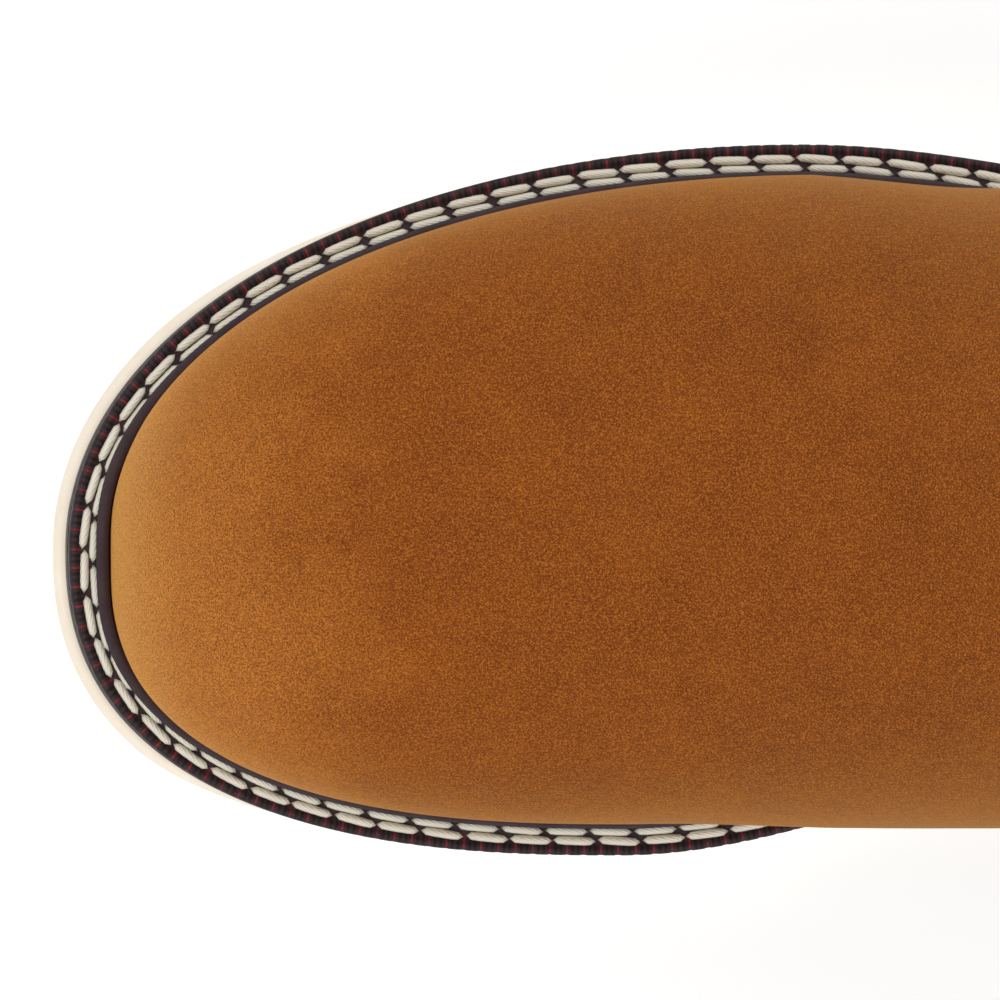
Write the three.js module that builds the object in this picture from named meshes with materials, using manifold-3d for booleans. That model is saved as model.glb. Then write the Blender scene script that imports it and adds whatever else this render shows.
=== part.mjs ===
// Right-foot steel toe work boot: a pull-on with a plain round toe, a storm welt with two rows of
// stitching and a wedge outsole. Millimetres, +X towards the toe, +Y towards the big toe, +Z up.
// The origin is on the ground, under the centre of the sole.
import * as THREE from "three";
import { LoftGeometry } from "three/addons/geometries/LoftGeometry.js";
import { mergeVertices } from "three/addons/utils/BufferGeometryUtils.js";
import Module from "manifold-3d";

const wasm = await Module();
wasm.setup();

// ---------------------------------------------------------------- driving dimensions
const GAP = 0.3; // between pieces that touch

// The feather line is where the outside of the upper meets the sole, seen from above.
const toeX = 143.5;
const toeY = 7.9;
const heelX = -146.8;
const seatX = heelX + 40.8; // where the seat starts to round towards the heel
const medialEdge = {
  side: 1, ballX: toeX - 81.5, ball: 50.1, waistX: -20, waist: 34, seatX, seat: 34.5, toePower: 2.5,
  swell: 2.6, // how much further the upper bulges over the waist on this side
};
const lateralEdge = {
  side: -1, ballX: toeX - 110.5, ball: 50.1, waistX: -60, waist: 38, seatX, seat: 34.5, toePower: 2.03,
  swell: 0,
};
const heelPower = 2.3;

// Sole stack, from the ground up
const soleForefoot = 12; // outsole thickness under the ball
const wedgeRise = 21; // how much thicker the outsole is under the heel
const wedgeFrontX = 42;
const wedgeRearX = -90;
const toeSpring = 9; // lift of the tread at the tip of the sole
const soleTipX = toeX + 9;
const springX = soleTipX - 95.5; // where the tread leaves the ground
const midsoleThickness = 3;
const treadGrooveDepth = 1.6;
const treadGrooveWidth = 3;
const treadPitch = 11;

// Storm welt
const weltThickness = 3;
const weltForefoot = 6.9; // how far it stands out past the feather line
const weltHeel = 6;
const stormLipHeight = 6.4;
const stormLipThickness = 1.4;
const threadRadius = 0.7;
const outerRow = weltForefoot - 2.1; // from the feather line to each row of stitches
const innerRow = outerRow - 1.7;
const innerRowEnds = { medial: 46, lateral: -20 };
const weltPoints = 88; // stations round half of the sole

// Thicknesses of the upper's layers, from the outside in
const coverLeather = 2.2; // vamp and counter cover
const stiffLayer = 1.8; // toe cap, counter stiffener, shaft leather, interlining
const liningThickness = 1;

// Upper, in side view
const toeCrownX = toeX - 43.5; // the highest point over the steel cap
const toeCrownZ = 72;
const toePower = 2.3;
const instep = { x: toeCrownX - 45, z: toeCrownZ, x2: 5, z2: toeCrownZ + 30 };
const throat = { x: -24, z: 150 };
const shaftFront = { x: -35.6, z: 170, x2: -31, z2: 215 };
const collarSideZ = 262;
const collarFrontZ = collarSideZ - 12;
const collarBackZ = collarSideZ - 9;
const formTop = collarSideZ + 23; // the form runs past the collar, which trims it
const shaftFrontTopX = -20;
const heelBack = {
  bulgeX: heelX - 4.2, bulgeZ: 62, neckX: heelX + 5.3, neckZ: 130, topX: heelX - 2.2,
};
const pivot = { x: 30, z: 190 }; // sections fan out from here between the foot and the shaft

// Half widths of the upper at stations 0..3: 0 toe, 1 pivot line, 2 bottom of the shaft, 3 top
const swelling = [{ at: 0.75, half: 0 }, { at: 1.08, half: 1 }, { at: 1.6, half: 0 }];
const toeBulge = 1;
const instepY = 6; // how far the ridge lies to the big toe's side at station 1
const ridgeFade = 0.5; // the ridge comes back to the middle over this many stations
const girths = [
  { at: 1.11, half: 48.8 },
  { at: 1.4, half: 42.5 },
  { at: 1.7, half: 39 },
  { at: 2.1, half: 41 },
  { at: 3, half: 46 },
];
// The line where the upper is widest bends up the leg here
const core = { heelX: -92, low: 70, x: -88 };

// Pattern lines, in side view
const seamTop = { x: -84, z: formTop + 5 };
const seamFoot = { x: -61, z: 30 };
const lap = 12; // how far the shaft leather runs under the vamp and the counter cover
const capRearX = toeX - 46.5;
const guardWidth = 7;
const bindingHeight = 8;
const bindingThickness = 1;
const pipingWidth = 3;
const pipingHeight = 1.4;

// Inside the sole and the boot
const ribWidth = 4;
const insoleThickness = 3;
const footbedFoam = 4.4;
const footbedCover = 0.8;
const shankLength = 104;
const shankWidth = 14;
const shankThickness = 1.6;
const shankX = -38;

// Pull loops
const loopWidth = 22;
const loopHeight = 24;
const loopInside = 4.4;
const webbing = 1.3;
const loopTail = 16;
const loopFoot = 3; // sewn shut at the bottom

// ---------------------------------------------------------------- colours
const look = (color, roughness, metalness = 0) =>
  new THREE.MeshStandardMaterial({ color, roughness, metalness });
const nubuck = look(0xa5632a, 0.85);
const liningCloth = look(0xb9a27f, 0.95);
const darkRubber = look(0x35231f, 0.6);
const creamRubber = look(0xf3e4cd, 0.7);
const thread = look(0xd8d0b8, 0.8);
const steel = look(0xa9adb0, 0.35, 1);
const fibreboard = look(0x9a7a55, 0.9);
const cork = look(0x8a6a45, 0.95);
const foam = look(0x3a3a3d, 0.95);
const blackWebbing = look(0x4a2c18, 0.9);

// ---------------------------------------------------------------- small helpers
const clamp = (t) => Math.min(1, Math.max(0, t));
const ease = (t) => clamp(t) ** 2 * (3 - 2 * clamp(t));
const between = (a, b, t) => a + (b - a) * ease(t);
const closing = (u, power) => Math.max(0, 1 - Math.abs(u) ** power) ** (1 / power);

// A value eased between stops [{ at, half }, ...]
function chain(stops, t) {
  const next = stops.findIndex((stop) => t < stop.at);
  if (next === 0) return stops[0].half;
  if (next < 0) return stops[stops.length - 1].half;
  const [a, b] = [stops[next - 1], stops[next]];
  return between(a.half, b.half, (t - a.at) / (b.at - a.at));
}

function solid(geometry) {
  const bare = new THREE.BufferGeometry();
  bare.setAttribute("position", geometry.attributes.position);
  if (geometry.index) bare.setIndex(geometry.index);
  const merged = mergeVertices(bare, 1e-4);
  const index = merged.index.array;
  const kept = [];
  for (let i = 0; i < index.length; i += 3) {
    const [a, b, c] = [index[i], index[i + 1], index[i + 2]];
    if (a !== b && b !== c && c !== a) kept.push(a, b, c);
  }
  const mesh = new wasm.Mesh({
    numProp: 3,
    vertProperties: merged.attributes.position.array,
    triVerts: new Uint32Array(kept),
  });
  return new wasm.Manifold(mesh);
}

// A loft through closed rows, turned inside out if they run the other way
function loft(rows, capped = false) {
  const caps = { capStart: capped, capEnd: capped };
  const made = solid(new LoftGeometry(rows, caps));
  return made.volume() > 0 ? made : solid(new LoftGeometry([...rows].reverse(), caps));
}

// The largest body of a cut, without the slivers that a curved cut can leave
function mainBody(manifold) {
  const bodies = manifold.decompose();
  return bodies.reduce((a, b) => (b.volume() > a.volume() ? b : a));
}

function geometryOf(manifold) {
  const { vertProperties, triVerts } = manifold.getMesh();
  const geometry = new THREE.BufferGeometry();
  geometry.setAttribute("position", new THREE.BufferAttribute(new Float32Array(vertProperties), 3));
  geometry.setIndex(new THREE.BufferAttribute(new Uint32Array(triVerts), 1));
  geometry.computeVertexNormals();
  return geometry;
}

const FINE = 0.06; // detail smaller than this is merged away
function piece(name, manifold, material) {
  const mesh = new THREE.Mesh(geometryOf(mainBody(mainBody(manifold).simplify(FINE))), material);
  mesh.name = name;
  return mesh;
}

// Side cuts run out past the boot to these limits
const reach = { front: toeX + 26.5, rear: heelX - 23.2, top: formTop + 15, side: 90 };

// A prism over a side-view outline of [x, z] points, from y0 to y1
function sideCut(outline, y0 = -reach.side, y1 = reach.side) {
  const shape = new THREE.Shape(outline.map(([x, z]) => new THREE.Vector2(x, z)));
  const geometry = new THREE.ExtrudeGeometry(shape, { depth: y1 - y0, bevelEnabled: false });
  geometry.rotateX(Math.PI / 2);
  geometry.translate(0, y1, 0);
  return solid(geometry);
}

// ---------------------------------------------------------------- sole lines
function treadZ(x) {
  const past = Math.max(0, x - springX) / (soleTipX - springX);
  return toeSpring * past ** 2;
}

function featherZ(x) {
  const rise = between(0, wedgeRise, (wedgeFrontX - x) / (wedgeFrontX - wedgeRearX));
  return treadZ(x) + soleForefoot + midsoleThickness + rise;
}

// The sole's own up direction at x, as [x, z]
function soleUp(x) {
  const slope = (featherZ(x + 0.5) - featherZ(x - 0.5));
  const length = Math.hypot(slope, 1);
  return [-slope / length, 1 / length];
}

function featherY(edge, x) {
  const { side, ballX, ball, waistX, waist, seatX, seat } = edge;
  if (x >= ballX) {
    return toeY + (side * ball - toeY) * closing((x - ballX) / (toeX - ballX), edge.toePower);
  }
  if (x >= waistX) return side * between(ball, waist, (ballX - x) / (ballX - waistX));
  if (x >= seatX) return side * between(waist, seat, (waistX - x) / (waistX - seatX));
  return side * seat * closing((seatX - x) / (seatX - heelX), heelPower);
}

// Points at equal steps along one side of the feather line, from the tip of the toe to the heel
function featherSide(edge, count) {
  const dense = [];
  const steps = 200;
  for (let i = 0; i <= steps; i++) {
    const bend = 0.5 - 0.5 * Math.cos((Math.PI * i) / steps);
    dense.push([toeX + (heelX - toeX) * bend, 0]);
  }
  dense.forEach((p) => (p[1] = featherY(edge, p[0])));
  const curve = new THREE.CurvePath();
  for (let i = 0; i < steps; i++) {
    const [a, b] = [dense[i], dense[i + 1]];
    curve.add(new THREE.LineCurve(new THREE.Vector2(...a), new THREE.Vector2(...b)));
  }
  return Array.from({ length: count + 1 }, (_, i) => curve.getPointAt(i / count));
}

const sideStations = weltPoints / 2;
const medialLine = featherSide(medialEdge, sideStations);
const lateralLine = featherSide(lateralEdge, sideStations);

// The plan normal at station i of a side, pointing away from the boot
function planNormal(line, side, i) {
  if (i === 0) return new THREE.Vector2(1, 0);
  if (i === line.length - 1) return new THREE.Vector2(-1, 0);
  const along = line[i + 1].clone().sub(line[i - 1]).normalize();
  return new THREE.Vector2(side * along.y, -side * along.x);
}

const weltWidth = (x) => between(weltForefoot, weltHeel, (20 - x) / 120);

// A point beside the feather line: out from it in plan, and up along the sole's own normal
function solePoint(line, side, i, out, up) {
  const normal = planNormal(line, side, i);
  const [x, y] = [line[i].x, line[i].y];
  const [upX, upZ] = soleUp(x);
  return new THREE.Vector3(
    x + normal.x * out * upZ + upX * up,
    y + normal.y * out,
    featherZ(x) - normal.x * out * upX + upZ * up,
  );
}

// A layer of the sole. Its edge runs up through [out(x), up] points; up "ground" is on the tread.
function soleLayer(edge) {
  const rows = [];
  for (let i = 0; i <= sideStations; i++) {
    const half = (line, side) =>
      edge.map(([out, up]) => {
        const width = out(line[i].x);
        if (up !== "ground") return solePoint(line, side, i, width, up);
        const down = featherZ(line[i].x) - treadZ(line[i].x);
        const point = solePoint(line, side, i, width, -down);
        point.z = treadZ(point.x);
        return point;
      });
    rows.push([...half(lateralLine, -1), ...half(medialLine, 1).reverse()]);
  }
  return loft([pole(rows[0]), ...rows, pole(rows[rows.length - 1])]);
}

const heelZ = featherZ(heelX);

// ---------------------------------------------------------------- the upper's form
// The form runs on a little below the feather line, for the sole to trim.
const dip = 4;
const footZ = (x) => featherZ(x) - dip;
const bezier = (...p) =>
  new THREE.CubicBezierCurve(...p.map(([x, z]) => new THREE.Vector2(x, z)));
const instepCurve = bezier(
  [toeCrownX, toeCrownZ], [instep.x, instep.z], [instep.x2, instep.z2], [throat.x, throat.z],
);
const shaftCurve = bezier(
  [throat.x, throat.z], [shaftFront.x, shaftFront.z], [shaftFront.x2, shaftFront.z2],
  [shaftFrontTopX, formTop],
);
const heelFootZ = footZ(heelX);
const counterCurve = bezier(
  [heelX, heelFootZ], [heelBack.bulgeX, heelBack.bulgeZ],
  [heelBack.neckX - 1.5, heelBack.neckZ - 35], [heelBack.neckX, heelBack.neckZ],
);
const backCurve = bezier(
  [heelBack.neckX, heelBack.neckZ], [heelBack.neckX + 1, heelBack.neckZ + 35],
  [heelBack.topX + 2, formTop - 45], [heelBack.topX, formTop],
);

// The top line: 0..1 over the toe, 1..2 up the instep, 2..3 up the front of the shaft
function topLine(s) {
  if (s > 1) return s <= 2 ? instepCurve.getPoint(s - 1) : shaftCurve.getPoint(s - 2);
  const turn = (s * Math.PI) / 2;
  const low = footZ(toeX);
  const x = toeCrownX + (toeX - toeCrownX) * Math.cos(turn) ** (2 / toePower);
  return new THREE.Vector2(x, low + (toeCrownZ - low) * Math.sin(turn) ** (2 / toePower));
}

// The bottom line: 0..1 back along the foot, 1..2 up the counter, 2..3 up the back of the shaft
function bottomLine(s) {
  if (s > 1) return s <= 2 ? counterCurve.getPoint(s - 1) : backCurve.getPoint(s - 2);
  const x = pivot.x + (heelX - pivot.x) * s;
  return new THREE.Vector2(x, footZ(x));
}

// Where a line crosses the plane through origin along direction, by halving
function crossing(line, origin, direction, low, high) {
  const sideOf = (s) => {
    const p = line(s).sub(origin);
    return p.x * direction.y - p.y * direction.x;
  };
  const start = Math.sign(sideOf(low));
  for (let i = 0; i < 36; i++) {
    const middle = (low + high) / 2;
    if (Math.sign(sideOf(middle)) === start) low = middle;
    else high = middle;
  }
  return (low + high) / 2;
}

const level = new THREE.Vector2(-1, 0);
const upright = new THREE.Vector2(0, -1);
function backX(z) {
  const origin = new THREE.Vector2(0, Math.max(z, heelFootZ + 0.01));
  return bottomLine(crossing(bottomLine, origin, level, 1, 3)).x;
}
const topZ = (x) => topLine(crossing(topLine, new THREE.Vector2(x, pivot.z), upright, 0, 2)).y;

const widestShare = (x) => between(0.3, 0.42, (x - pivot.x) / (toeX - pivot.x));
function widestRise(x) {
  const at = Math.max(x, pivot.x);
  return Math.max(1, widestShare(at) * (topZ(at) - featherZ(at)));
}

// The core is the line where the upper is widest: back along the foot, then up the shaft
const coreStartZ = featherZ(pivot.x) + widestRise(pivot.x);
const coreCurve = bezier(
  [pivot.x, coreStartZ], [-25, coreStartZ + 3], [core.heelX, core.low], [core.x, pivot.z],
);
const coreLine = (s) =>
  s <= 1 ? coreCurve.getPoint(s) : new THREE.Vector2(core.x, pivot.z + (s - 1) * 200);

function stationOf(x, z) {
  if (x >= pivot.x) return (toeX - x) / (toeX - pivot.x);
  if (z >= pivot.z) return 2 + (z - pivot.z) / (formTop - pivot.z);
  return 2 - Math.atan2(pivot.z - z, pivot.x - x) / (Math.PI / 2);
}
const heelStation = stationOf(heelX, heelFootZ);

// The half width of the foot at the feather line, from the ridge, without its rounded heel
function footHalf(edge, x, ridge) {
  return edge.side * (featherY(edge, Math.max(x, edge.seatX)) - ridge);
}

function halfAt(edge, t, ridge) {
  const ballAt = (toeX - edge.ballX) / (toeX - pivot.x);
  if (t >= ballAt) {
    const girth = chain([{ at: ballAt, half: edge.ball + toeBulge }, ...girths], t);
    return girth + edge.swell * chain(swelling, t) - edge.side * ridge;
  }
  const foot = footHalf(edge, toeX - t * (toeX - pivot.x), ridge);
  return foot + toeBulge * clamp(foot / 20);
}

const ridgeAt = (t) => between(between(toeY, instepY, t), 0, (t - 1) / ridgeFade);

// The section plane at station t: 0..1 upright, 1..2 fanning round the pivot, 2..3 level
function section(t) {
  let origin;
  let direction;
  if (t <= 1) {
    origin = new THREE.Vector2(toeX + (pivot.x - toeX) * t, pivot.z);
    direction = upright;
  } else {
    const angle = (Math.max(0, 2 - t) * Math.PI) / 2;
    origin = new THREE.Vector2(pivot.x, pivot.z + Math.max(0, t - 2) * (formTop - pivot.z));
    direction = new THREE.Vector2(-Math.cos(angle), -Math.sin(angle));
  }
  const x = origin.x;
  const top = topLine(crossing(topLine, origin, direction, t <= 1 ? 0 : 1, t <= 1 ? 2 : 3));
  const end = t <= 1
    ? new THREE.Vector2(x, footZ(x))
    : bottomLine(crossing(bottomLine, origin, direction, 0, 3));
  const middle = t <= 1
    ? new THREE.Vector2(x, featherZ(x) + widestRise(x))
    : coreLine(crossing(coreLine, origin, direction, 0, 2));
  const roundness = chain(
    [{ at: 0, half: 2.4 }, { at: 1, half: 2.15 }, { at: 1.33, half: 2 }, { at: 2, half: 2.2 }],
    t,
  );
  return { t, top, end, middle, roundness, ridge: ridgeAt(t) };
}

// The half width of the upper at a side-view point (x, z) that lies in a section plane
function halfWidth(cut, edge, x, z) {
  const rise = cut.top.clone().sub(cut.middle);
  const along = ((x - cut.middle.x) * rise.x + (z - cut.middle.y) * rise.y) / rise.lengthSq();
  const over = along > 0 ? closing(along, cut.roundness) : 1;
  const footStation = stationOf(x, featherZ(x));
  const ratio = Math.min(
    1,
    footHalf(edge, x, ridgeAt(footStation)) / halfAt(edge, footStation, ridgeAt(footStation)),
  );
  const up = Math.min(1, (z - featherZ(x)) / widestRise(x));
  const flare = up > 0 ? 0.7 * ease(up) + 0.3 * up : 0.3 * up;
  const centreX = between(seatX, core.x, (z - heelZ) / 110);
  const back = x < centreX ? closing((centreX - x) / (centreX - backX(z)), heelPower) : 1;
  return halfAt(edge, cut.t, cut.ridge) * over * back * (ratio + (1 - ratio) * flare);
}

// A point of the form in a section. v runs from -1, the lateral end, over the ridge at 0, to 1.
const upperShare = 6 / 12;
const aroundCount = 12;
function formPoint(cut, v) {
  const edge = v >= 0 ? medialEdge : lateralEdge;
  const amount = Math.abs(v);
  const place = new THREE.Vector2();
  if (amount <= upperShare) {
    const turn = (Math.PI / 2) * (1 - amount / upperShare);
    place.lerpVectors(cut.middle, cut.top, Math.sin(turn) ** (2 / cut.roundness));
  } else {
    const closed = cut.t >= heelStation - 1e-9;
    const open = closed ? 0 : closing(Math.max(0, (seatX - cut.end.x) / (seatX - heelX)), 2);
    const turn = Math.max(0.05, (1 - open) * (Math.PI / 2));
    const step = (amount - upperShare) / (1 - upperShare);
    place.lerpVectors(cut.middle, cut.end, Math.sin(turn * step) / Math.sin(turn));
  }
  const shut = amount === 0 || (amount === 1 && cut.t >= heelStation - 1e-9);
  const half = shut ? 0 : halfWidth(cut, edge, place.x, place.y);
  return new THREE.Vector3(place.x, cut.ridge + edge.side * half, place.y);
}

function formStations() {
  const list = [];
  for (let i = 1; i <= 8; i++) list.push((toeX - topLine(i / 8).x) / (toeX - pivot.x));
  for (let i = 1; i <= 5; i++) list.push(list[7] + ((1 - list[7]) * i) / 5);
  const foot = (x) => list.push(stationOf(x, footZ(x)));
  for (let i = 1; i <= 5; i++) foot(pivot.x + ((seatX - pivot.x) * i) / 5);
  for (let i = 1; i <= 6; i++) foot(seatX + (heelX - seatX) * Math.sin((Math.PI * i) / 12));
  const from = heelStation;
  for (let i = 1; i <= 5; i++) list.push(from + ((2 - from) * i) / 5);
  for (let i = 1; i <= 4; i++) list.push(2 + i / 4);
  return [0.0016, ...list];
}

// The outward normal of the form, from how fast its squared half width changes
const NUDGE = 0.04;
function formNormal(edge, x, z) {
  const at = (px, pz) => {
    const t = stationOf(px, Math.min(pz, formTop));
    if (t <= 0) return { half: 0, ridge: toeY };
    const cut = section(t);
    return { half: halfWidth(cut, edge, px, pz), ridge: cut.ridge };
  };
  const slope = (p, q) => [
    (q.half ** 2 - p.half ** 2) / (4 * NUDGE),
    (q.ridge - p.ridge) / (2 * NUDGE),
  ];
  const { half } = at(x, z);
  const [widenX, driftX] = slope(at(x - NUDGE, z), at(x + NUDGE, z));
  const [widenZ, driftZ] = slope(at(x, z - NUDGE), at(x, z + NUDGE));
  const out = edge.side * half;
  return new THREE.Vector3(-out * driftX - widenX, out, -out * driftZ - widenZ).normalize();
}

// Points and outward normals of the form, worked out once
const formGrid = formStations().map((t) => {
  const cut = section(t);
  return Array.from({ length: 2 * aroundCount + 1 }, (_, j) => {
    const v = (j - aroundCount) / aroundCount;
    const point = formPoint(cut, v);
    const normal = formNormal(v >= 0 ? medialEdge : lateralEdge, point.x, point.z);
    const shut = v === 0 || (Math.abs(v) === 1 && t >= heelStation - 1e-9);
    if (shut) normal.setY(0).normalize();
    return { point, normal };
  });
});

// A loft's end, drawn together to the middle of its last section
function pole(row) {
  const middle = new THREE.Vector3();
  row.forEach((point) => middle.addScaledVector(point, 1 / row.length));
  return row.map(() => middle.clone());
}

// The form grown by depth along its own normals (negative is inwards), as one closed solid
const formCache = new Map();
function form(depth) {
  if (!formCache.has(depth)) {
    const rows = formGrid.map((row) =>
      row.map(({ point, normal }) => point.clone().addScaledVector(normal, depth)),
    );
    formCache.set(depth, loft([pole(rows[0]), ...rows, pole(rows[rows.length - 1])]));
  }
  return formCache.get(depth);
}

// ---------------------------------------------------------------- panels of the upper
// Everything above a surface that follows the sole at the given height over the feather line
const aboveSole = (up) => {
  const slab = soleLayer([[weltWidth, -40], [weltWidth, up]]);
  return form(6).subtract(slab);
};
const upperRoom = aboveSole(GAP);

// A layer of the upper from one depth to another, kept inside the layer outside it
function layer(outer, inner, under = outer) {
  return form(-outer).intersect(form(-under)).subtract(form(-inner)).intersect(upperRoom);
}

const coverInner = coverLeather;
const stiffOuter = coverInner + GAP;
const stiffInner = stiffOuter + stiffLayer;
const liningOuter = stiffInner + GAP;
const liningInner = liningOuter + liningThickness;
const cavityDepth = liningInner + GAP;

const smooth = (points, steps = 18) =>
  new THREE.SplineCurve(points.map(([x, z]) => new THREE.Vector2(x, z))).getPoints(steps)
    .map((p) => [p.x, p.y]);

// The vamp's back edge climbs from the waist of the sole to a tongue at the front of the ankle
const vampEdge = smooth([
  [throat.x - 8, throat.z + 4], [throat.x + 8, throat.z - 8], [throat.x + 20, throat.z - 40],
  [throat.x + 10, throat.z - 66], [-34, 63], [-52, 50], [-62, 24],
]);
const counterTop = smooth([[-36, 46], [-60, 74], [-100, 94], [heelX - 3.2, 118]], 14);

const moved = (line, dx, dz = 0) => line.map(([x, z]) => [x + dx, z + dz]);
const frontOf = (line) => {
  const { front, top } = reach;
  const foot = [line[line.length - 1][0], 0];
  return sideCut([[front, 0], [front, top], [pivot.x, top], ...line, foot]);
};
const underLine = (line) => sideCut([[reach.rear, 0], ...[...line].reverse(), [line[0][0], 0]]);
const seamLean = (seamFoot.x - seamTop.x) / (seamTop.z - seamFoot.z);
const seamX = (z) => seamTop.x + seamLean * (seamTop.z - z);
const beforeSeam = (shift) => {
  const { front, top } = reach;
  return sideCut([[seamX(0) + shift, 0], [front, 0], [front, top], [seamX(top) + shift, top]]);
};
const beforeX = (x) => sideCut([[x, 0], [reach.front, 0], [reach.front, pivot.z], [x, pivot.z]]);

// The collar dips at the front and the back
const collarLine = smooth([
  [heelX - 13.2, collarBackZ - 4], [heelX + 6.8, collarBackZ], [-100, collarSideZ - 1],
  [core.x + 6, collarSideZ], [-60, collarSideZ - 3], [-30, collarFrontZ], [-10, collarFrontZ - 4],
], 20);
const underCollar = (rise) => {
  const { front, rear } = reach;
  const below = [[front, collarFrontZ], [front, 0], [rear, 0], [rear, collarBackZ]];
  return sideCut([...moved(collarLine, 0, rise), ...below].reverse());
};

const vampArea = frontOf(vampEdge);
const lapArea = frontOf(moved(vampEdge, lap));
const counterArea = underLine(counterTop).subtract(frontOf(moved(vampEdge, -0.5)));
const stiffenerTop = moved(counterTop, -3, -lap);
const trimmed = underCollar(-GAP);

const cover = layer(0, coverInner);
const stiff = layer(stiffOuter, stiffInner, coverInner);
const vamp = cover.intersect(vampArea);
const counterCover = cover.intersect(counterArea);

const toeCap = stiff.intersect(beforeX(capRearX));
const guard = stiff.intersect(beforeX(capRearX - GAP - guardWidth)).subtract(beforeX(capRearX - GAP));
const doubler = stiff.intersect(frontOf(moved(vampEdge, lap + GAP)))
  .subtract(beforeX(capRearX - 2 * GAP - guardWidth));
const shaftLayer = stiff.subtract(lapArea).intersect(trimmed);
const front = shaftLayer.intersect(beforeSeam(GAP / 2));
const rear = shaftLayer.subtract(beforeSeam(-GAP / 2)).subtract(underLine(moved(stiffenerTop, 0, GAP)));
const stiffener = stiff.subtract(beforeSeam(-GAP / 2)).intersect(underLine(stiffenerTop));
const lining = layer(liningOuter, liningInner, stiffInner).intersect(trimmed);

// The binding wraps the top edge of the shaft and its lining
const bindingOuter = stiffOuter - GAP - bindingThickness;
const bindingInner = liningInner + GAP + bindingThickness;
const wrap = form(-bindingOuter).subtract(form(-bindingInner));
const wrapRoom = form(-(stiffOuter - GAP)).subtract(form(-(liningInner + GAP)));
const binding = wrap.intersect(underCollar(bindingThickness)).subtract(underCollar(-bindingHeight))
  .subtract(wrapRoom.intersect(underCollar(0)));

// A side cut through one side of the boot only
const onSide = (side, outline) =>
  side > 0 ? sideCut(outline, 0, reach.side) : sideCut(outline, -reach.side, 0);

// Piping covers each side seam, between the vamp and the binding
const pipingBand = (side) => {
  const half = pipingWidth / 2;
  const [low, high] = [seamX(0), seamX(reach.top)];
  const outline = [
    [low - half, 0], [low + half, 0], [high + half, reach.top], [high - half, reach.top],
  ];
  return onSide(side, outline);
};
const pipingLayer = form(-(stiffOuter - GAP - pipingHeight)).subtract(form(-(stiffOuter - GAP)))
  .intersect(underCollar(-bindingHeight - GAP))
  .subtract(frontOf(moved(vampEdge, -0.5 - GAP)))
  .subtract(underLine(moved(counterTop, 0, 0.5)));
const piping = (side) => pipingLayer.intersect(pipingBand(side));

// ---------------------------------------------------------------- sole
const outsoleBlock = soleLayer([[weltWidth, "ground"], [weltWidth, -midsoleThickness - GAP]]);
const inset = (x) => weltWidth(x) - 9;
const treadRoom = soleLayer([[inset, "ground"], [inset, -midsoleThickness - 5]]);

function grooves() {
  const cutters = [];
  for (let x = heelX + 6; x < toeX - 4; x += treadPitch) {
    const box = new THREE.BoxGeometry(treadGrooveWidth, 120, 2 * treadGrooveDepth);
    box.rotateY(-Math.atan((treadZ(x + 1) - treadZ(x - 1)) / 2));
    box.translate(x, 0, treadZ(x));
    cutters.push(solid(box));
  }
  const room = treadRoom.translate([0, 0, -treadGrooveDepth]).add(treadRoom);
  return wasm.Manifold.union(cutters).intersect(room);
}
const outsole = outsoleBlock.subtract(grooves());
const midsole = soleLayer([[weltWidth, -midsoleThickness], [weltWidth, 0]]);

// A bar along the middle of the sole, following its curve
function soleStrip(fromX, toX, halfWidthY, low, high) {
  const rows = [];
  for (let i = 0; i <= 16; i++) {
    const x = fromX + ((toX - fromX) * i) / 16;
    const [upX, upZ] = soleUp(x);
    const corner = (y, up) => new THREE.Vector3(x + upX * up, y, featherZ(x) + upZ * up);
    const [left, right] = [-halfWidthY, halfWidthY];
    rows.push([corner(left, low), corner(left, high), corner(right, high), corner(right, low)]);
  }
  return loft(rows, true);
}

// A flat layer that fills the sole's outline, drawn in by the inset
const plate = (inset, low, high) => soleLayer([[() => -inset, low], [() => -inset, high]]);
const boardInset = cavityDepth + 1.6;
const bedInset = cavityDepth + 2.2;
const fillerTop = GAP + 2.7;
const ribInset = boardInset + ribWidth;
const rib = plate(boardInset, GAP, fillerTop).subtract(plate(ribInset, -6, 12));
const shankFront = shankX + shankLength / 2;
const shankRear = shankX - shankLength / 2;
const shank = soleStrip(shankFront, shankRear, shankWidth / 2, 2 * GAP, 2 * GAP + shankThickness);
const shankPocket =
  soleStrip(shankFront + GAP, shankRear - GAP, shankWidth / 2 + GAP, GAP - 1, fillerTop + 1);
const filler = plate(ribInset + GAP, GAP, fillerTop).subtract(shankPocket);
const boardTop = fillerTop + GAP + insoleThickness;
const board = plate(boardInset, fillerTop + GAP, boardTop);
const foamTop = boardTop + GAP + footbedFoam;
const bedFoam = plate(bedInset, boardTop + GAP, foamTop);
const bedCover = plate(bedInset, foamTop + GAP, foamTop + GAP + footbedCover);

// ---------------------------------------------------------------- welt and its stitching
// How far the upper's surface stands out from the feather line, at a height over the sole
function surfaceOut(line, side, i, up) {
  const edge = side > 0 ? medialEdge : lateralEdge;
  let [low, high] = [-4, 10];
  for (let k = 0; k < 24; k++) {
    const out = (low + high) / 2;
    const { x, y, z } = solePoint(line, side, i, out, up);
    const t = stationOf(x, z);
    const cut = t > 0 ? section(t) : null;
    const inside = cut && edge.side * (y - cut.ridge) < halfWidth(cut, edge, x, z);
    if (inside) low = out;
    else high = out;
  }
  return (low + high) / 2;
}

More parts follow.
